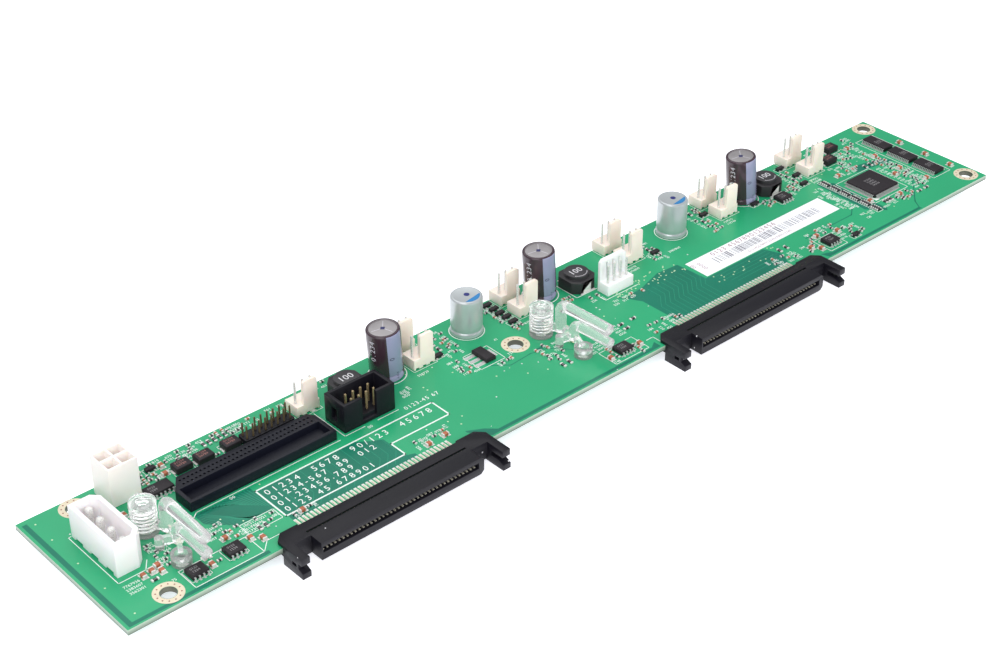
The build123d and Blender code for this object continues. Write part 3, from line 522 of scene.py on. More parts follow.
SILK_LINES = [  # (places, width, closed)
    (TITLE_BOX, 0.45, True),
    ([(15.0, 15.5), (7.3, 15.5), (7.3, 38.5), (8.0, 38.5)], 0.22, False),
    ([(15.0, 15.5), (17.2, 18.5)], 0.22, False),
    ([(20.4, 2.0), (20.4, 9.7), (40.5, 9.7), (40.5, 2.0)], 0.22, True),
    ([(40.5, 2.0), (43.4, 5.0), (52.0, 5.0)], 0.2, False),
    ([(41.5, 9.8), (51.8, 9.8), (51.8, 14.2), (41.5, 14.2)], 0.2, True),
    ([(82.2, 25.8), (36.6, 25.8), (35.0, 24.5)], 0.25, False),
    ([(84.3, 40.0), (84.3, 26.3), (91.0, 26.3)], 0.22, False),
    ([(95.5, 26.3), (102.5, 26.3)], 0.22, False),
    ([(60.3, 44.6), (59.2, 44.6), (59.2, 42.6)], 0.35, False),
    ([(132.0, 25.7), (141.0, 25.7), (141.0, 33.8), (132.0, 33.8)], 0.2, True),
    ([(177.8, 45.0), (177.8, 35.0), (186.0, 35.0)], 0.25, False),
    ([(183.3, 33.0), (183.3, 28.4), (196.5, 28.4)], 0.22, False),
    ([(162.0, 2.4), (175.0, 2.4), (175.0, 9.6), (162.0, 9.6)], 0.18, True),
    ([(177.0, 5.4), (179.6, 5.4), (179.6, 2.5)], 0.2, False),
    ([(255.0, 2.4), (262.8, 2.4), (262.8, 9.8), (255.0, 9.8)], 0.18, True),
    ([(288.6, 12.4), (305.2, 12.4), (305.2, 28.8), (288.6, 28.8)], 0.18, True),
    ([(316.2, 10.2), (324.8, 10.2), (324.8, 43.2), (316.2, 43.2)], 0.18, True),
    ([(263.4, 36.6), (274.2, 36.6), (274.2, 38.0)], 0.2, False),
]
VIAS = [(3.9, 48.5), (3.9, 40.5), (4.0, 28.5), (4.0, 16.3), (4.5, 4.0), (55.2, 24.6), (39.5, 19.5), (43.5, 15.2),
        (146.0, 13.5), (140.5, 15.8), (151.0, 19.0), (103.5, 10.2), (111.0, 10.0), (109.0, 13.2), (113.5, 12.6),
        (133.0, 20.5), (160.0, 19.5), (169.0, 20.2), (176.8, 22.6)]
VIA_FIELDS = [(187, 214, 24.5, 31, 56), (216, 246, 12.5, 16.8, 16), (278, 316, 6, 44, 34), (112, 130, 28, 40, 8)]
PRINTED_ROWS = [  # (digits, x, y, height, spacing)
    ("01234  5678  90/123  45678", 54.0, 19.6, 2.2, 1.53), ("01234-567  89  012", 54.0, 16.7, 2.1, 1.42),
    ("01.23456.789", 54.0, 13.8, 2.1, 1.5), ("0123 45 678901", 54.0, 10.8, 2.1, 1.5),
    ("0123-45 67", 104.0, 24.8, 1.5, 1.25), ("00", 46.0, 24.2, 1.1, 1.1), ("00", 91.2, 24.8, 1.1, 1.1),
    ("0-0", 107.6, 31.2, 1.1, 1.1), ("000", 107.0, 29.4, 1.1, 1.1),
]
MARK_COLUMNS = [  # columns of small digits: (x, first y, y limit, digits in a row, and the step where it differs)
    (7.2, 10.0, 14.0, 7), (42.0, 10.2, 13.8, 8, 1.3), (97.2, 9.6, 12.4, 3), (103.2, 9.8, 12.6, 3),
    (18.4, 14.6, 16.5, 4), (18.6, 20.0, 22.0, 3), (34.5, 16.0, 18.0, 3), (37.0, 12.8, 13.5, 3),
    (36.2, 40.5, 44.5, 4), (47.0, 46.0, 50.0, 3), (50.0, 46.0, 49.0, 3), (62.2, 46.8, 50.2, 6),
    (116.6, 34.6, 36.0, 6), (124.8, 38.5, 49.0, 3), (126.4, 26.6, 32.4, 3), (142.6, 26.0, 27.0, 3),
    (152.4, 40.0, 49.0, 3), (156.8, 34.6, 35.4, 6), (160.5, 10.2, 12.0, 3), (163.0, 10.6, 14.0, 4),
    (173.0, 12.0, 17.0, 4), (199.8, 34.4, 36.4, 6), (190.2, 9.6, 10.6, 3), (208.6, 39.0, 49.0, 3),
    (217.0, 34.8, 36.0, 5), (235.8, 39.0, 49.0, 2), (243.0, 34.4, 36.4, 6), (236.2, 6.6, 10.0, 4),
    (243.5, 6.0, 9.0, 4), (263.0, 4.6, 10.0, 4), (277.8, 38.0, 49.0, 3), (280.0, 15.0, 28.0, 4),
    (288.4, 8.4, 9.6, 5), (292.0, 9.2, 10.2, 5), (300.0, 31.0, 37.0, 4), (303.0, 38.0, 43.6, 5),
    (306.5, 10.0, 26.0, 3), (311.5, 10.0, 42.0, 3), (284.0, 34.0, 36.0, 6), (296.0, 44.0, 49.0, 3),
    (322.8, 17.0, 18.0, 3), (322.8, 28.0, 29.0, 3), (144.4, 34.0, 34.6, 2), (17.4, 7.4, 8.0, 2),
    (54.0, 7.4, 8.2, 3), (220.0, 34.8, 35.8, 3),
]
CROWDS = [  # where parts stand close: (x, y, half length, half width, tiny parts, rows of digits)
    (305.8, 39.4, 3.0, 2.4, 5, 5), (314.4, 44.2, 1.6, 4.0, 3, 4), (311.8, 31.1, 2.6, 5.0, 9, 7),
    (312.2, 21.5, 2.4, 4.2, 8, 6), (311.6, 13.1, 2.6, 3.0, 5, 6), (298.1, 9.4, 5.5, 1.6, 7, 6),
    (280.6, 22.6, 2.2, 7.5, 0, 16), (283.5, 9.4, 4.5, 1.4, 0, 7), (274.7, 36.2, 3.6, 2.2, 8, 6),
    (265.1, 35.2, 4.0, 1.6, 6, 7), (281.0, 41.0, 1.8, 4.0, 5, 4), (299.0, 34.0, 4.5, 3.5, 7, 8),
    (241.7, 46.6, 2.2, 2.6, 4, 4), (238.8, 38.2, 2.4, 4.6, 8, 7), (261.4, 12.4, 6.0, 1.6, 5, 7),
    (269.4, 6.2, 3.8, 3.4, 6, 8), (252.0, 8.0, 2.2, 2.6, 3, 6), (239.6, 8.8, 5.0, 2.2, 5, 10),
    (191.0, 9.0, 2.6, 1.4, 3, 4), (153.2, 43.6, 1.2, 5.4, 6, 7), (154.2, 37.0, 1.8, 3.0, 6, 6),
    (131.5, 42.4, 3.6, 6.4, 10, 10), (129.0, 30.0, 1.8, 4.4, 5, 8), (140.3, 24.4, 2.8, 1.0, 3, 4),
    (153.0, 18.6, 3.6, 4.4, 9, 9), (171.8, 3.8, 1.2, 2.6, 3, 4), (164.5, 6.4, 1.6, 3.2, 3, 4),
    (181.9, 31.3, 1.8, 1.6, 2, 4), (189.6, 25.4, 5.6, 1.0, 2, 7), (212.6, 40.4, 2.6, 6.8, 7, 9),
    (101.1, 10.6, 6.0, 1.6, 3, 7), (184.5, 8.2, 3.4, 2.6, 3, 7), (175.6, 37.6, 2.4, 3.2, 5, 6),
    (36.6, 47.6, 4.4, 3.4, 10, 10), (35.2, 42.4, 2.6, 2.2, 4, 6), (49.0, 48.9, 4.8, 1.8, 6, 7),
    (55.0, 43.6, 1.0, 1.8, 1, 4), (58.6, 48.6, 4.2, 1.6, 7, 6), (67.4, 48.6, 4.4, 1.6, 3, 8),
    (21.0, 20.0, 2.2, 3.4, 6, 6), (19.6, 14.6, 1.4, 1.6, 2, 4), (39.4, 12.8, 2.2, 1.8, 4, 6),
    (46.6, 12.2, 4.6, 1.4, 3, 8), (36.0, 16.4, 2.4, 2.2, 2, 6), (57.6, 8.4, 3.4, 0.8, 2, 4),
    (29.8, 7.4, 0.8, 1.6, 2, 2), (23.0, 37.6, 4.2, 1.6, 6, 5), (77.6, 47.8, 3.4, 2.6, 2, 8),
    (24.9, 31.6, 3.4, 1.2, 3, 4), (43.2, 49.4, 1.6, 1.8, 3, 4), (92.0, 49.6, 3.2, 1.4, 3, 5),
    (109.0, 31.6, 2.0, 1.2, 0, 5), (300.6, 47.6, 2.0, 2.6, 3, 4),
]


# What a user may change

class BoardSettings(bpy.types.PropertyGroup):
    mask_colour: FloatVectorProperty(name="Solder mask", description="Colour of the solder mask", subtype="COLOR",
                                     default=srgb(38, 166, 114), min=0, max=1)
    deep_colour: FloatVectorProperty(name="Mask over laminate", description="Mask where no copper lies under it",
                                     subtype="COLOR", default=srgb(16, 118, 94), min=0, max=1)
    track_colour: FloatVectorProperty(name="Mask over tracks", description="Mask on tracks in a dark area",
                                      subtype="COLOR", default=srgb(44, 152, 120), min=0, max=1)
    rim_colour: FloatVectorProperty(name="Laminate", description="Colour of the bare edge", subtype="COLOR",
                                    default=srgb(176, 198, 178), min=0, max=1)
    ink_colour: FloatVectorProperty(name="Print", description="Colour of the printed marks", subtype="COLOR",
                                    default=srgb(238, 244, 240), min=0, max=1)
    ring_colour: FloatVectorProperty(name="Hole lands", description="Colour of the lands round the holes",
                                     subtype="COLOR", default=srgb(226, 214, 188), min=0, max=1)
    mark_seed: IntProperty(name="Marks", description="Seed of the small digits", default=7, min=0)


class HousingSettings(bpy.types.PropertyGroup):
    black: FloatVectorProperty(name="Black nylon", description="Drive sockets and black headers", subtype="COLOR",
                               default=srgb(21, 20, 28), min=0, max=1)
    navy: FloatVectorProperty(name="Slot nylon", description="Slot connector", subtype="COLOR",
                              default=srgb(20, 22, 34), min=0, max=1)
    white: FloatVectorProperty(name="White nylon", description="Power and bus headers", subtype="COLOR",
                               default=srgb(250, 246, 248), min=0, max=1)
    cream: FloatVectorProperty(name="Cream nylon", description="Fan and auxiliary headers", subtype="COLOR",
                               default=srgb(252, 238, 226), min=0, max=1)
    edge: FloatProperty(name="Edge radius", description="Rounding of moulded edges", subtype="DISTANCE",
                        unit="LENGTH", default=0.15 * MM, min=0, max=0.5 * MM)


class CapacitorSettings(bpy.types.PropertyGroup):
    sleeve: FloatVectorProperty(name="Sleeve", description="Shrink sleeve of the tall capacitors", subtype="COLOR",
                                default=srgb(62, 44, 54), min=0, max=1)
    stripe: FloatVectorProperty(name="Stripe", description="Polarity stripe", subtype="COLOR",
                                default=srgb(148, 149, 180), min=0, max=1)
    stripe_width: FloatProperty(name="Stripe width", description="Angle that the stripe covers", subtype="ANGLE",
                                unit="ROTATION", default=radians(58), min=0, max=pi)
    can: FloatVectorProperty(name="Bare can", description="Aluminium of the short capacitors", subtype="COLOR",
                             default=srgb(200, 206, 208), min=0, max=1)
    dye: FloatVectorProperty(name="Can dye", description="Printed segment on the short capacitors", subtype="COLOR",
                             default=srgb(40, 128, 190), min=0, max=1)


class StageSettings(bpy.types.PropertyGroup):
    lens: FloatProperty(name="Lens", description="Focal length in millimetres", default=68.2, min=10, max=300)
    lamp: FloatProperty(name="Lamps", description="Strength of the soft lamps", default=1.0, min=0, max=5)
    sky: FloatProperty(name="Room light", description="Strength of the light from all sides", default=0.62, min=0,
                       max=3)
    mirrored: FloatProperty(name="Mirrored room", description="Strength of the room as gloss mirrors it", default=0.28,
                            min=0, max=3)


# Pieces, each made by its own operator

class BOARD_OT_surface(bpy.types.Operator):
    """Solder mask, bare edges and the tracks that show through the mask"""
    bl_idname = "board.surface"
    bl_label = "Board surface"

    def execute(self, context):
        settings = context.scene.board_settings
        paint("circuit_board", board_finish(settings))
        track = finish_of("mask_over_track", settings.track_colour, 0.06, (0.3, 0.38), 2600.0, 40.0, 0.06,
                          specular_ior_level=0.3)
        deep = finish_of("mask_over_laminate", settings.deep_colour, 0.08, (0.28, 0.36), 2600.0, 60.0, 0.06,
                         specular_ior_level=0.3)
        finish(flat(DARK_AREAS, 0.001, 0.006), "dark_mask_areas", "solder_mask", deep)
        runs = [([(36.2 + 0.95 * i, 24.9), (max(36.2 + 0.95 * i, 42.6 + 0.62 * i), 24.9 - 0.6 * i)], 0.16)
                for i in range(17)]
        runs += [([(35.6, 24.2 - 0.85 * i), (37.2, 24.2 - 0.85 * i), (45.6 + 0.3 * i, 14.6)], 0.14) for i in range(11)]
        runs += [([(54.2 + 2.7 * i, 8.0), (58.2 + 2.7 * i, 12.6), (58.2 + 2.7 * i, 22.3)], 0.1) for i in range(13)]
        runs += [([(x, 7.2), (x, 15.0), (x + 4.0, 19.4), (x + 4.0, 24.6)], 0.12)
                 for x in (193.0 + 1.9 * i for i in range(11))]
        runs += [([(216.0 + 1.2 * i, 15.9 - 1.5 * i), (240.0, 15.9 - 1.5 * i)], 0.12) for i in range(5)]
        finish(lines_piece(runs, 0.006, 0.006), "board_tracks", "solder_mask", track)
        finish(lines_piece(COPPER_GAPS, 0.001, 0.005), "gaps_in_copper", "solder_mask", deep)
        return {"FINISHED"}


class BOARD_OT_lands(bpy.types.Operator):
    """Lands round the holes, vias, and the pads that the parts are soldered to"""
    bl_idname = "board.lands"
    bl_label = "Lands and vias"

    def execute(self, context):
        settings = context.scene.board_settings
        land = finish_of("hole_land", settings.ring_colour, 0.06, (0.35, 0.5), 3000.0, 500.0, 0.1, metallic=0.1)
        start_mesh()
        for place, inner, outer in [(p, 2.25, 4.0) for p in HOLES] + [(CENTRE_HOLE, 2.35, 4.15)]:
            for low, high in ((0.0, 0.03), (-THICK - 0.03, -THICK)):
                washer(place, inner, outer, low, high)
        finish(bpy.context.object, "hole_lands", "tinned_metal", land, smooth=30)
        start_mesh()
        for x, y in HOLES + [CENTRE_HOLE]:
            for i in range(12):
                turned([(0.22, 0.03), (0.22, 0.04)], (x + 3.15 * cos(i * pi / 6), y + 3.15 * sin(i * pi / 6)), 10)
        finish(bpy.context.object, "land_vias", "gold_plate",
               finish_of("land_via", srgb(150, 84, 70), 0.05, (0.4, 0.5)))
        start_mesh()
        # The barrel metal is a dark grey: partly the plating's own tone, partly painted shade inside the holes.
        for place, radius in [(p, 2.2) for p in HOLES] + [(CENTRE_HOLE, 2.3)]:
            washer(place, radius - 0.05, radius - 0.002, -THICK - 0.02, 0.02)
        finish(bpy.context.object, "hole_barrels", "tinned_metal",
               finish_of("barrel_metal_painted_shade", srgb(116, 116, 104), 0.12, (0.35, 0.5), metallic=0.8), smooth=30)
        picked = random.Random(settings.mark_seed)
        dots = list(VIAS)
        for low_x, high_x, low_y, high_y, count in VIA_FIELDS:
            dots += [(picked.uniform(low_x, high_x), picked.uniform(low_y, high_y)) for _ in range(count)]
        start_mesh()
        for place in dots:
            turned([(0.26, 0.004), (0.26, 0.024), (0.1, 0.024), (0.08, 0.01)], place, 10)
        finish(bpy.context.object, "vias", "gold_plate", finish_of("via_plating", srgb(196, 226, 186), 0.06,
                                                                   (0.3, 0.45), metallic=0.2))
        pads = [(centre + (i - 19.5) * LEAD_PITCH, 5.5, 0.0, 0.78, 3.2, 0) for centre in SOCKETS.values()
                for i in range(40)]
        for name, grow in (("ceramic_capacitor_ends", 0.5), ("controller_leads", 0.0), ("small_chip_leads", 0.0),
                           ("buffer_chip_leads", 0.0), ("regulator_leads", 0.5)):
            for low, high in solids_of(name):
                pads.append((*middle_of(low, high), 0.0, high.x - low.x + grow + 0.1, high.y - low.y + grow + 0.1, 0))
        finish(plates_piece(pads, 0.03), "pads", "tinned_metal", tin())
        return {"FINISHED"}


class BOARD_OT_print(bpy.types.Operator):
    """Printed outlines and plain digits on the board"""
    bl_idname = "board.print"
    bl_label = "Printed marks"

    def execute(self, context):
        frames = []
        for number in range(1, 12):
            low, high = (place_of(p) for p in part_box(f"fan_header_{number:02d}"))
            frames.append((low.x - 0.5, low.y - 0.6, high.x + 0.5, high.y + 0.3))
        for name in ("small_chips", "transistors", "power_diodes", "resistor_arrays"):
            for low, high in solids_of(name):
                frames.append((low.x - 0.45, low.y - 0.45, high.x + 0.45, high.y + 0.45))
        boxes = []
        for x0, y0, x1, y1 in frames:
            y1 = min(y1, REAR - 0.2)
            boxes.append(([(x0, y0), (x1, y0), (x1, y1), (x0, y1)], 0.16, True))
        outline = lines_piece(SILK_LINES + boxes, PRINT_Z, PRINT_T)
        start_mesh()
        for x, inset, radius in [(*can[:2], 5.6) for can in TALL_CANS] + [(*can, 5.3) for can in SHORT_CANS]:
            washer((x, REAR - inset), radius - 0.3, radius, PRINT_Z, PRINT_Z + PRINT_T, 56)
        rings = bpy.context.object
        lines = [(text, x, y, PRINT_Z, height, 0, spacing) for text, x, y, height, spacing in PRINTED_ROWS]
        picked = random.Random(context.scene.board_settings.mark_seed + 1)
        for x, y, end, digits, *step in MARK_COLUMNS:
            while y < end:
                lines.append(("".join(str(picked.randrange(10)) for _ in range(digits)), x, y, PRINT_Z, 0.95, 0, 1.0))
                y += step[0] if step else 1.45
        finish(joined(words(lines), outline, rings), "printed_marks", "label_paper", ink())
        piece = flat([[(290.2, 13.2), (292.0, 13.2), (290.2, 15.6)], [(84.6, 41.0), (86.0, 41.0), (84.6, 42.6)]],
                     PRINT_Z, PRINT_T)
        finish(piece, "printed_arrows", "label_paper", ink())
        return {"FINISHED"}


class BOARD_OT_solder(bpy.types.Operator):
    """Soldered tails on the underside"""
    bl_idname = "board.solder"
    bl_label = "Solder"

    def execute(self, context):
        start_mesh()
        for name, size in (("power_header_pins", 1.9), ("aux_power_pins", 1.5), ("slot_contacts", 0.55),
                           ("pin_header_pins", 0.85), ("box_header_pins", 0.85), ("fan_header_pins", 0.85),
                           ("bus_header_pins", 0.85), ("capacitor_leads", 0.9)):
            for low, high in solids_of(name):
                place = middle_of(low, high)
                if name == "capacitor_leads" and high.x - low.x > 0.62:
                    place = (high.x - 0.32, place[1])
                rise = 0.9 * size
                turned([(size * 0.5, -THICK - 0.9), (size * 0.62, -THICK - rise * 0.5), (size, -THICK - 0.05),
                        (size, -THICK)], place, 12)
        finish(bpy.context.object, "solder_joints", "tinned_metal", tin(), smooth=50)
        return {"FINISHED"}


class BOARD_OT_drive_sockets(bpy.types.Operator):
    """The two drive sockets and their contacts"""
    bl_idname = "board.drive_sockets"
    bl_label = "Drive sockets"

    def execute(self, context):
        edge = context.scene.housing_settings.edge / MM
        for name in SOCKETS:
            softened(f"drive_socket_{name}", "black_nylon", black(), width=edge)
            paint(f"drive_contacts_{name}", finish_of("contact_plating", srgb(222, 218, 200), 0.06, (0.22, 0.32),
                                                      5000.0, 250.0, metallic=0.4))
        return {"FINISHED"}


class BOARD_OT_power_headers(bpy.types.Operator):
    """The white four-pin power header and the two-by-two header beside it"""
    bl_idname = "board.power_headers"
    bl_label = "Power headers"

    def execute(self, context):
        settings = context.scene.housing_settings
        white = pale_nylon("white_nylon", settings.white, 0.02, (0.3, 0.42), 0.12, 0.004)
        ivory = pale_nylon("ivory_nylon", srgb(255, 246, 241), 0.02, (0.32, 0.44), 0.12, 0.004)
        softened("power_header", "white_nylon", white, width=0.3, segments=3)
        softened("aux_power_header", "white_nylon", ivory, width=0.2, segments=3)
        softened("power_header_pins", "tinned_metal", tin(), width=0.1)
        softened("aux_power_pins", "tinned_metal", tin(), width=0.12)
        return {"FINISHED"}


class BOARD_OT_slot(bpy.types.Operator):
    """The slot connector with its trough and contacts"""
    bl_idname = "board.slot_connector"
    bl_label = "Slot connector"

    def execute(self, context):
        settings = context.scene.housing_settings
        navy = finish_of("navy_nylon", settings.navy, 0.1, (0.36, 0.48), 3500.0, 60.0, 0.2, 0.02, 0.04,
                         specular_ior_level=0.3)
        softened("slot_connector", "navy_nylon", navy, width=0.12)
        paint("slot_contacts", finish_of("slot_plating", srgb(120, 108, 92), 0.1, (0.3, 0.45), metallic=0.7))
        return {"FINISHED"}


class BOARD_OT_pin_headers(bpy.types.Operator):
    """The two-row pin header and the box header"""
    bl_idname = "board.pin_headers"
    bl_label = "Pin and box headers"

    def execute(self, context):
        softened("pin_header", "black_nylon", black(), width=0.12)
        softened("box_header", "black_nylon", black(), width=0.15)
        dull = finish_of("dull_gold", srgb(122, 108, 80), 0.08, (0.3, 0.4), 5000.0, 200.0, 0.05, metallic=0.5)
        softened("pin_header_pins", "gold_plate", dull, width=0.14, segments=1)
        softened("box_header_pins", "gold_plate", gold(), width=0.14, segments=1)
        return {"FINISHED"}


class BOARD_OT_fan_headers(bpy.types.Operator):
    """Eleven fan headers and the four-pin header with a slotted wall"""
    bl_idname = "board.fan_headers"
    bl_label = "Fan headers"

    def execute(self, context):
        settings = context.scene.housing_settings
        cream = pale_nylon("cream_nylon", settings.cream, 0.025, (0.34, 0.46), 0.12, 0.003)
        white = pale_nylon("bus_nylon", srgb(252, 252, 252), 0.015, (0.34, 0.46), 0.1, 0.003)
        for number in range(1, 12):
            softened(f"fan_header_{number:02d}", "cream_nylon", cream, width=0.18)
        softened("bus_header", "white_nylon", white, width=0.12)
        for name in ("fan_header_pins", "bus_header_pins"):
            softened(name, "tinned_metal", tin(), width=0.14, segments=1)
        return {"FINISHED"}


def over_stripe(place, x, y, half):
    """Whether a place lies over the stripe of the can at x and y."""
    angle = atan2(place.y - y, place.x - x) - STRIPE_MIDDLE
    return abs((angle + pi) % (2 * pi) - pi) < half


def wrapped_words(text, x, y, low_z, radius, angle, height):
    """Digits that run up an upright can, bent round it."""
    piece = words([(text, 0, 0, 0, height, 0, 1.15)], PRINT_T)
    origin = spot(0, 0, 0)
    for vertex in piece.data.vertices:
        along = piece.matrix_world @ vertex.co - origin
        turn = radians(angle) - along.y / (radius * MM)
        reach = (radius + PRINT_Z) * MM + along.z
        vertex.co = (spot(x, y, low_z) + Vector((reach * cos(turn), reach * sin(turn), along.x))) - origin
    piece.location = origin
    return piece


class BOARD_OT_sleeved_capacitors(bpy.types.Operator):
    """Tall capacitors in a dark sleeve, with a pale stripe and a scored top, leaning as they do"""
    bl_idname = "board.sleeved_capacitors"
    bl_label = "Sleeved capacitors"

    def execute(self, context):
        settings = context.scene.capacitor_settings
        sleeve = finish_of("capacitor_sleeve", settings.sleeve, 0.06, (0.16, 0.24), 900.0, 120.0, 0.08, 0.03,
                           coat_weight=0.4, coat_roughness=0.08)
        stripe = finish_of("sleeve_stripe", settings.stripe, 0.04, (0.18, 0.26), 900.0, 120.0, 0.08, 0.03,
                           coat_weight=0.4, coat_roughness=0.08)
        metal = finish_of("scored_top", srgb(168, 164, 166), 0.06, (0.34, 0.46), 3000.0, 300.0, 0.1, metallic=0.6)
        score = finish_of("score_line", srgb(214, 212, 220), 0.06, (0.4, 0.5), metallic=0.3)
        dot = finish_of("score_centre", srgb(44, 46, 96), 0.05, (0.4, 0.5))
        radius, height = 4.88, 15.95
        for number, (x, inset, lean_x, lean_y) in enumerate(TALL_CANS, 1):
            y = REAR - inset
            can = start_mesh()
            turned([(radius - 0.9, 0.02), (radius - 0.35, 0.06), (radius - 0.08, 0.3), (radius, 0.6), (radius, 1.5),
                    (radius - 0.12, 1.72), (radius - 0.34, 1.95), (radius - 0.36, 2.15), (radius - 0.14, 2.4),
                    (radius, 2.65), (radius, height - 0.6), (radius - 0.1, height - 0.25),
                    (radius - 0.38, height - 0.03), (radius - 0.62, height), (radius - 0.85, height - 0.06),
                    (radius - 0.9, height - 0.3), (radius - 1.4, height - 0.24), (radius - 3.2, height - 0.2),
                    (0.4, height - 0.19)], (x, y), 64)
            bpy.ops.object.mode_set(mode="OBJECT")
            low = height - 0.22
            scores = plates_piece([(x + 1.7 * cos(radians(turn)), y + 1.7 * sin(radians(turn)), low, 3.3, 0.16, turn)
                                   for turn in (50, 165, 285)], 0.05)
            start_mesh()
            turned([(0.85, low), (0.85, low + 0.06), (0.5, low + 0.07)], (x, y), 4)
            centre = bpy.context.object
            finish(can, f"sleeved_can_{number}", "capacitor_sleeve", sleeve, stripe, metal,
                   nodes=(f"electrolytic_capacitor_{number}",), smooth=40)
            half = settings.stripe_width / 2
            faces_of(can, 1, lambda p, n: over_stripe(p, x, y, half) and abs(n.z) < 0.9
                     and hypot(p.x - x, p.y - y) > radius - 0.6 and p.z < height - 0.2)
            faces_of(can, 2, lambda p, n: p.z > height - 0.5 and hypot(p.x - x, p.y - y) < radius - 0.84)
            finish(scores, f"can_scores_{number}", "bare_can", score)
            finish(centre, f"can_centre_{number}", "bare_can", dot)
            rows = [wrapped_words(row, x, y, low_z, radius, angle, size) for row, angle, size, low_z in
                    (("01234", -160, 1.7, 7.4), ("0", -96, 1.5, 7.6), ("0 0 0", -84, 0.7, 1.0))]
            piece = finish(joined(*rows), f"can_digits_{number}", "label_paper",
                           finish_of("sleeve_print", srgb(214, 212, 222), 0.03, (0.3, 0.4)),
                           finish_of("stripe_print", srgb(70, 66, 92), 0.03, (0.3, 0.4)))
            faces_of(piece, 1, lambda p, n: over_stripe(p, x, y, half))
            lean = Matrix.Translation(spot(x, y)) @ Vector((0, 0, 1)).rotation_difference(
                Vector((lean_x, lean_y, 16.0))).to_matrix().to_4x4() @ Matrix.Translation(-spot(x, y))
            for part in (can, scores, centre, piece):
                part.data.transform(lean)
        paint("capacitor_leads", tin())
        return {"FINISHED"}


class BOARD_OT_bare_capacitors(bpy.types.Operator):
    """Short capacitors in a bare can with a flared foot and a dyed segment"""
    bl_idname = "board.bare_capacitors"
    bl_label = "Bare capacitors"

    def execute(self, context):
        settings = context.scene.capacitor_settings
        metal = finish_of("bare_can", settings.can, 0.03, (0.28, 0.36), 900.0, 150.0, 0.06, 0.02, metallic=0.5)
        top = finish_of("can_top", srgb(190, 184, 204), 0.03, (0.3, 0.38), 900.0, 150.0, 0.05, metallic=0.3)
        blue = finish_of("can_dye", settings.dye, 0.04, (0.3, 0.4))
        navy = finish_of("can_dot", srgb(42, 48, 120), 0.04, (0.3, 0.4))
        for number, (x, inset) in enumerate(SHORT_CANS, 1):
            y = REAR - inset
            can = start_mesh()
            turned([(4.4, 0.06), (4.76, 0.12), (4.89, 0.4), (4.89, 1.1), (4.76, 1.4), (4.56, 1.6), (4.54, 2.0),
                    (4.66, 2.3), (4.72, 2.8), (4.73, 11.5), (4.66, 11.85), (4.45, 12.08), (4.15, 12.15),
                    (3.95, 12.12), (1.2, 12.1)], (x, y), 64)
            bpy.ops.object.mode_set(mode="OBJECT")
            finish(can, f"bare_can_{number}", "bare_can", metal, top, nodes=(f"polymer_capacitor_{number}",),
                   smooth=40)
            faces_of(can, 1, lambda p, n: p.z > 12.0 and n.z > 0.6)
            turn = radians(-80)
            arc = [(x + 3.9 * cos(turn + radians(a)), y + 3.9 * sin(turn + radians(a))) for a in range(-54, 55, 4)]
            finish(flat([arc], 12.15, 0.02), f"can_segment_{number}", "bare_can", blue)
            start_mesh()
            turned([(0.85, 12.13), (0.85, 12.17)], (x + 0.2, y + 0.1), 24)
            finish(bpy.context.object, f"can_dot_{number}", "bare_can", navy)
        return {"FINISHED"}


class BOARD_OT_chokes(bpy.types.Operator):
    """Chokes with a round cap, digits and wrapped terminals"""
    bl_idname = "board.chokes"
    bl_label = "Chokes"

    def execute(self, context):
        body = finish_of("choke_body", srgb(44, 43, 46), 0.1, (0.4, 0.55), 3000.0, 200.0, 0.3, 0.03, 0.04)
        cap = finish_of("choke_cap", srgb(56, 54, 58), 0.1, (0.3, 0.42), 3000.0, 200.0, 0.2, 0.02)
        mark = finish_of("choke_print", srgb(228, 228, 232), 0.03, (0.4, 0.5))
        for number, (x, inset) in enumerate(CHOKES, 1):
            y = REAR - inset
            piece = softened(f"choke_{number}", "chip_plastic", body, cap, width=0.25, segments=3)
            faces_of(piece, 1, lambda p, n: p.z > 4.55)
            digits = words([("100", x - 2.7, y - 0.9, 5.0, 2.3, 0, 1.0)], 0.02)
            arc = [(x + 3.1 * cos(radians(a)), y + 3.1 * sin(radians(a))) for a in range(220, 321, 10)]
            curve_mark = lines_piece([(arc, 0.2)], 4.99, 0.02)
            finish(joined(digits, curve_mark), f"choke_digits_{number}", "label_paper", mark)
        softened("choke_terminals", "tinned_metal", tin(), width=0.06, segments=1)
        return {"FINISHED"}


class BOARD_OT_light_pipes(bpy.types.Operator):
    """Clear light pipe mouldings with a faint painted glow, and the small LEDs under them"""
    bl_idname = "board.light_pipes"
    bl_label = "Light pipes"

    def execute(self, context):
        # The clear plastic's faint white emission is a painted glow that brightens the pipes.
        clear = finish_of("clear_plastic", (1.0, 1.0, 1.0), 0.0, (0.03, 0.06), 900.0, 200.0, 0.01, 0.02,
                          transmission_weight=0.84, ior=1.4, emission_color=(1, 1, 1, 1), emission_strength=0.05)
        for name in ("left", "right"):
            softened(f"light_pipe_{name}", "clear_plastic", clear, width=0.12)
        lens = finish_of("led_lens", srgb(236, 230, 200), 0.03, (0.2, 0.3))
        softened("status_leds", "led_lens", lens, width=0.1)
        return {"FINISHED"}


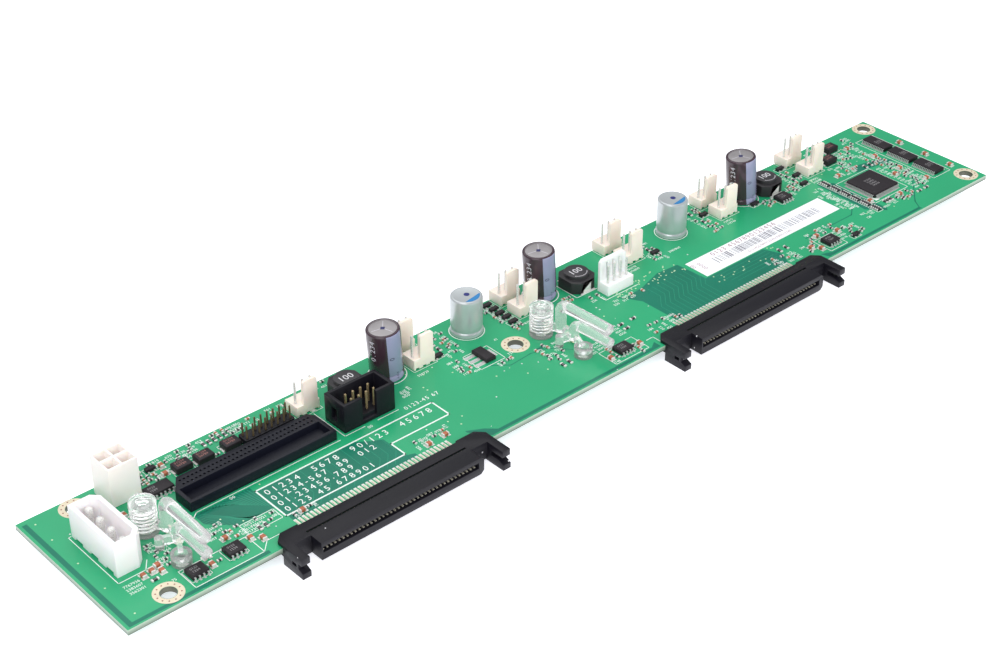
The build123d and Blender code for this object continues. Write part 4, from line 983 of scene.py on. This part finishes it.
class BOARD_OT_chips(bpy.types.Operator):
    """Regulator, controller, buffers and small chips, with their leads and plain marks"""
    bl_idname = "board.chips"
    bl_label = "Chips"

    def execute(self, context):
        names = ["voltage_regulator", "controller_chip", "buffer_chip_1", "buffer_chip_2", "buffer_chip_3",
                 "small_chips", "transistors"]
        for name in names:
            softened(name, "chip_plastic", chip_black(), width=0.1)
        for name in ("regulator_leads", "controller_leads", "buffer_chip_leads", "small_chip_leads"):
            paint(name, finish_of("lead_metal", srgb(214, 214, 214), 0.06, (0.25, 0.35), metallic=0.45))
        lines = []
        for name, rows, digits, height in (("controller_chip", 4, 6, 0.8), ("buffer_chip_1", 3, 5, 0.6),
                                           ("buffer_chip_2", 3, 5, 0.6), ("buffer_chip_3", 3, 5, 0.6)):
            low, high = (place_of(p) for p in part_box(name))
            turn = 90 if name.startswith("buffer") else 0
            for i in range(rows):
                text = "0123456789"[i:i + digits]
                x, y = middle_of(low, high)
                shift = (i - (rows - 1) / 2) * height * 1.5
                if turn:
                    at = (x + shift + height / 2, y - digits * height * 0.42)
                else:
                    at = (x - digits * height * 0.42, y - shift - height / 2)
                lines.append((text, at[0], at[1], high.z, height, turn, 1.0))
        for low, high in solids_of("small_chips"):
            for i in (0, 1):
                lines.append(("01234"[i:i + 4], low.x + 0.9, high.y - 1.6 - 1.2 * i, high.z, 0.8, 0, 1.0))
        finish(words(lines, 0.01), "chip_digits", "chip_plastic", chip_mark())
        start_mesh()
        low, high = (place_of(p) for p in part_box("controller_chip"))
        turned([(0.55, high.z), (0.55, high.z + 0.01)], (low.x + 1.3, low.y + 1.3), 20)
        for a, b in solids_of("small_chips"):
            turned([(0.3, b.z), (0.3, b.z + 0.01)], (a.x + 0.6, a.y + 0.7), 14)
        finish(bpy.context.object, "chip_dimples", "chip_plastic",
               finish_of("dimple_shade", srgb(38, 37, 42), 0.05, (0.5, 0.6)))
        legs = []
        for low, high in solids_of("transistors"):
            middle = (low.x + high.x) / 2
            legs += [(x, y, 0.0, 0.45, 0.7, 0) for x, y in ((middle - 0.95, low.y - 0.15),
                                                            (middle + 0.95, low.y - 0.15), (middle, high.y + 0.15))]
        finish(plates_piece(legs, 0.3), "transistor_legs", "tinned_metal", tin())
        return {"FINISHED"}


class BOARD_OT_small_parts(bpy.types.Operator):
    """Chip capacitors, resistors, arrays and diodes with their metal ends and digits"""
    bl_idname = "board.small_parts"
    bl_label = "Small parts"

    def execute(self, context):
        ceramic = finish_of("ceramic_body", srgb(178, 102, 72), 0.12, (0.4, 0.55), 4000.0, 500.0, 0.1)
        body = finish_of("resistor_body", srgb(48, 46, 50), 0.1, (0.35, 0.5), 4000.0, 500.0, 0.1)
        softened("ceramic_capacitors", "ceramic_body", ceramic, width=0.08)
        softened("ceramic_capacitor_ends", "tinned_metal", tin(), width=0.1)
        softened("chip_resistors", "ceramic_body", body, width=0.05, segments=1)
        softened("resistor_arrays", "ceramic_body", body, width=0.05, segments=1)
        softened("power_diodes", "chip_plastic", chip_black(), width=0.25)
        ends, digits = [], []
        for low, high in solids_of("chip_resistors"):
            x, y = middle_of(low, high)
            length, width = high.x - low.x, high.y - low.y
            for hand in (-1, 1):
                if length > width:
                    ends.append((x + hand * length / 2, y, 0.0, 0.5, width + 0.1, 0))
                else:
                    ends.append((x, y + hand * width / 2, 0.0, length + 0.1, 0.5, 0))
            digits.append(("000", x - 0.42, y - 0.2, high.z, 0.4, 0, 0.9))
        array_ends = [(x, low.y + 0.4 + 0.8 * i, 0.0, 0.5, 0.45, 0) for low, high in solids_of("resistor_arrays")
                      for i in range(4) for x in (low.x, high.x)]
        diode_ends = [(x, (low.y + high.y) / 2, 0.0, 1.1, 2.0, 0) for low, high in solids_of("power_diodes")
                      for x in (low.x, high.x)]
        piece = joined(plates_piece(ends, 0.47), plates_piece(array_ends, 0.62), plates_piece(diode_ends, 0.35))
        modify(piece, "BEVEL", width=0.05 * MM, segments=2, limit_method="ANGLE")
        finish(piece, "part_ends", "tinned_metal", tin(), smooth=40)
        finish(words(digits, 0.01), "part_digits", "label_paper", chip_mark())
        lines = []
        for low, high in solids_of("power_diodes"):
            for i, text in enumerate(("01234", "56789")):
                lines.append((text, low.x + 0.8, high.y - 1.4 - 1.2 * i, high.z, 0.85, 0, 1.0))
        finish(words(lines, 0.01), "diode_digits", "chip_plastic",
               finish_of("diode_print", srgb(158, 106, 98), 0.05, (0.5, 0.6)))
        return {"FINISHED"}


class BOARD_OT_crowd(bpy.types.Operator):
    """Tiny chips with metal ends and short rows of digits, wherever the parts stand close"""
    bl_idname = "board.crowd"
    bl_label = "Tiny parts"

    def execute(self, context):
        picked = random.Random(context.scene.board_settings.mark_seed + 2)
        taken = []
        for name in sorted(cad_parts):
            for low, high in solids_of(name) if name != "circuit_board" else ():
                if name.startswith("light_pipe"):  # its ribbed post, its hollow post and its rods
                    taken += [(low.x - 0.2, high.y - 6.6, low.x + 6.6, high.y + 0.3),
                              (low.x + 1.6, low.y + 4.6, low.x + 7.0, low.y + 10.4),
                              (low.x + 5.2, low.y, high.x + 0.2, high.y - 4.0)]
                elif high.z > 0.2:
                    taken.append((low.x - 0.5, low.y - 0.5, high.x + 0.5, high.y + 0.5))

        def free_place(x, y, half_x, half_y, long, wide):
            for _ in range(40):
                px = x + picked.uniform(-half_x, half_x)
                py = y + picked.uniform(-half_y, half_y)
                box = (px - long / 2 - 0.12, py - wide / 2 - 0.12, px + long / 2 + 0.12, py + wide / 2 + 0.12)
                inside = 0.6 < box[0] and box[2] < LENGTH - 0.6 and 0.8 < box[1] and box[3] < REAR - 0.5
                if inside and not any(box[0] < t[2] and box[2] > t[0] and box[1] < t[3] and box[3] > t[1]
                                      for t in taken):
                    taken.append(box)
                    return px, py
            return None

        bodies, browns, ends, lines = [], [], [], []
        for *crowd, parts, marks in CROWDS:
            for _ in range(parts):
                across = picked.random() < 0.45
                size = (1.3, 0.65) if across else (0.65, 1.3)
                place = free_place(*crowd, *size)
                if place:
                    (browns if picked.random() < 0.35 else bodies).append((*place, 0.0, size[0] - 0.3 * across,
                                                                           size[1] - 0.3 * (not across), 0))
                    for hand in (-0.5, 0.5):
                        ends.append((place[0] + hand * across, place[1] + hand * (not across), 0.0,
                                     0.36 if across else 0.7, 0.7 if across else 0.36, 0))
            for _ in range(marks):
                upright = picked.random() < 0.35
                size = (1.0, 2.3) if upright else (2.3, 1.0)
                place = free_place(*crowd, *size)
                if place:
                    text = "".join(str(picked.randrange(10)) for _ in range(3))
                    corner = (place[0] + 0.48, place[1] - 1.1) if upright else (place[0] - 1.1, place[1] - 0.48)
                    lines.append((text, *corner, PRINT_Z, 1.0, 90 if upright else 0, 1.0))
        for name, places, high, slot, material in (
                ("tiny_resistors", bodies, 0.4, "ceramic_body", finishes["resistor_body"]),
                ("tiny_capacitors", browns, 0.45, "ceramic_body", finishes["ceramic_body"]),
                ("tiny_part_ends", ends, 0.47, "tinned_metal", tin())):
            finish(plates_piece(places, high), name, slot, material)
        finish(words(lines), "tiny_digits", "label_paper", ink())
        return {"FINISHED"}


class BOARD_OT_label(bpy.types.Operator):
    """Paper label with plain bars and digits"""
    bl_idname = "board.paper_label"
    bl_label = "Paper label"

    def execute(self, context):
        paper = finish_of("label_paper", srgb(248, 250, 255), 0.02, (0.45, 0.6), 5000.0, 60.0, 0.1, 0.02)
        dark = finish_of("label_bars", srgb(120, 118, 130), 0.06, (0.5, 0.6))
        red = finish_of("label_digits", srgb(168, 128, 138), 0.05, (0.5, 0.6))
        softened("part_label", "label_paper", paper, width=0.03, segments=1)
        low, high = (place_of(p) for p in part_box("part_label"))
        z = high.z - 0.005
        picked = random.Random(5)
        bars = []
        x = low.x + 8.5
        while x < high.x - 5.5:
            wide = picked.choice((0.18, 0.18, 0.32, 0.5))
            bars.append((x + wide / 2, low.y + 4.6, z, wide, 3.4, 0))
            x += wide + picked.choice((0.3, 0.5, 0.9))
        finish(plates_piece(bars, 0.012), "label_bar_marks", "label_paper", dark)
        lines = [("0123 4567890123456", low.x + 10.0, low.y + 6.9, z, 2.0, 0, 1.2),
                 ("01234567890123456789012345", low.x + 20.0, low.y + 1.0, z, 1.0, 0, 1.1),
                 ("00", low.x + 1.4, low.y + 5.6, z, 1.4, 90, 1.1),
                 ("0000", low.x + 3.8, low.y + 3.0, z, 1.4, 90, 1.1)]
        finish(words(lines, 0.012), "label_digit_marks", "label_paper", red)
        return {"FINISHED"}


class BOARD_OT_stage(bpy.types.Operator):
    """Pale floor, soft lamps, plain room light and the camera"""
    bl_idname = "board.stage"
    bl_label = "Stage"

    def execute(self, context):
        settings = context.scene.stage_settings
        scene = context.scene
        scene.view_settings.view_transform = "Standard"
        nothing_selected()
        bpy.ops.mesh.primitive_plane_add(size=6, location=(0, 0, cad_box[0].z - 0.0001))
        floor = context.object
        floor.name = floor.data.name = "floor"
        only(floor)
        bpy.ops.object.transform_apply(location=True, rotation=True, scale=True)
        material = bpy.data.materials.new("pale_floor")
        material.use_nodes = True
        tree = material.node_tree
        tree.nodes.clear()
        rays = node(tree, "ShaderNodeLightPath")
        seen = larger(tree, larger(tree, rays.outputs["Is Camera Ray"], rays.outputs["Is Glossy Ray"]),
                      rays.outputs["Is Transmission Ray"])
        glow = node(tree, "ShaderNodeEmission", {"Color": (0.93, 0.93, 1.0, 1), "Strength": 0.72})
        dark = node(tree, "ShaderNodeEmission", {"Color": (0, 0, 0, 1), "Strength": 0.0})
        only_seen = node(tree, "ShaderNodeMixShader", {0: seen, 1: dark.outputs[0], 2: glow.outputs[0]})
        matte = node(tree, "ShaderNodeBsdfDiffuse", {"Color": (0.8, 0.8, 0.82, 1)})
        both = node(tree, "ShaderNodeAddShader", {0: only_seen.outputs[0], 1: matte.outputs[0]})
        node(tree, "ShaderNodeOutputMaterial", {"Surface": both.outputs[0]})
        floor.data.materials.append(material)
        world = bpy.data.worlds.new("room")
        scene.world = world
        world.use_nodes = True
        tree = world.node_tree
        tree.nodes.clear()
        rays = node(tree, "ShaderNodeLightPath")
        seen = larger(tree, rays.outputs["Is Camera Ray"], rays.outputs["Is Transmission Ray"])
        room = node(tree, "ShaderNodeBackground", {"Color": (0.97, 0.98, 1.0, 1), "Strength": settings.sky})
        dim = node(tree, "ShaderNodeBackground", {"Color": (0.95, 0.97, 1.0, 1), "Strength": settings.mirrored})
        white = node(tree, "ShaderNodeBackground", {"Color": (1, 1, 1, 1), "Strength": 1.0})
        plain = node(tree, "ShaderNodeMixShader", {0: rays.outputs["Is Glossy Ray"], 1: room.outputs[0],
                                                   2: dim.outputs[0]})
        mixed = node(tree, "ShaderNodeMixShader", {0: seen, 1: plain.outputs[0], 2: white.outputs[0]})
        node(tree, "ShaderNodeOutputWorld", {"Surface": mixed.outputs[0]})
        for name, place, size, watts in (("left_softbox", (-0.75, -0.35, 0.7), 0.9, 4.6),
                                         ("front_softbox", (0.2, -1.1, 0.4), 0.9, 5.6),
                                         ("top_softbox", (0.15, 0.45, 1.0), 1.2, 5.0)):
            bpy.ops.object.light_add(type="AREA", location=place)
            lamp = context.object
            lamp.name = lamp.data.name = name
            lamp.data.shape = "DISK"
            lamp.data.size = size
            lamp.data.energy = watts * settings.lamp
            lamp.visible_glossy = name != "front_softbox"
            lamp.rotation_euler = (-Vector(place)).to_track_quat("-Z", "Y").to_euler()
        bpy.ops.object.camera_add(location=(-0.32515, -0.32985, 0.3018),
                                  rotation=(radians(56.58), 0, radians(-41.74)))
        camera = context.object
        camera.name = camera.data.name = "photo_camera"
        camera.data.sensor_width = 36
        camera.data.lens = settings.lens
        camera.data.clip_start = 0.01
        camera.data.clip_end = 20
        scene.camera = camera
        return {"FINISHED"}


OPERATORS = [BOARD_OT_surface, BOARD_OT_lands, BOARD_OT_print, BOARD_OT_solder, BOARD_OT_drive_sockets,
             BOARD_OT_power_headers, BOARD_OT_slot, BOARD_OT_pin_headers, BOARD_OT_fan_headers,
             BOARD_OT_sleeved_capacitors, BOARD_OT_bare_capacitors, BOARD_OT_chokes, BOARD_OT_light_pipes,
             BOARD_OT_chips, BOARD_OT_small_parts, BOARD_OT_crowd, BOARD_OT_label, BOARD_OT_stage]
SETTINGS = {"board_settings": BoardSettings, "housing_settings": HousingSettings,
            "capacitor_settings": CapacitorSettings, "stage_settings": StageSettings}


class BOARD_PT_panel(bpy.types.Panel):
    """Lists the pieces of the board and what may be changed"""
    bl_idname = "BOARD_PT_panel"
    bl_label = "Drive backplane"
    bl_space_type = "VIEW_3D"
    bl_region_type = "UI"
    bl_category = "Backplane"

    def draw(self, context):
        for name, kind in SETTINGS.items():
            box = self.layout.box()
            for key in kind.__annotations__:
                box.prop(getattr(context.scene, name), key)
        for operator in OPERATORS:
            self.layout.operator(operator.bl_idname)


def register():
    for kind in [*SETTINGS.values(), *OPERATORS, BOARD_PT_panel]:
        bpy.utils.register_class(kind)
    for name, kind in SETTINGS.items():
        setattr(bpy.types.Scene, name, PointerProperty(type=kind))


def unregister():
    for name in SETTINGS:
        delattr(bpy.types.Scene, name)
    for kind in reversed([*SETTINGS.values(), *OPERATORS, BOARD_PT_panel]):
        bpy.utils.unregister_class(kind)


def main():
    register()
    make_groups()
    for operator in OPERATORS:
        _, name = operator.bl_idname.split(".")
        getattr(bpy.ops.board, name)()
    nothing_selected()


if __name__ == "__main__":
    main()
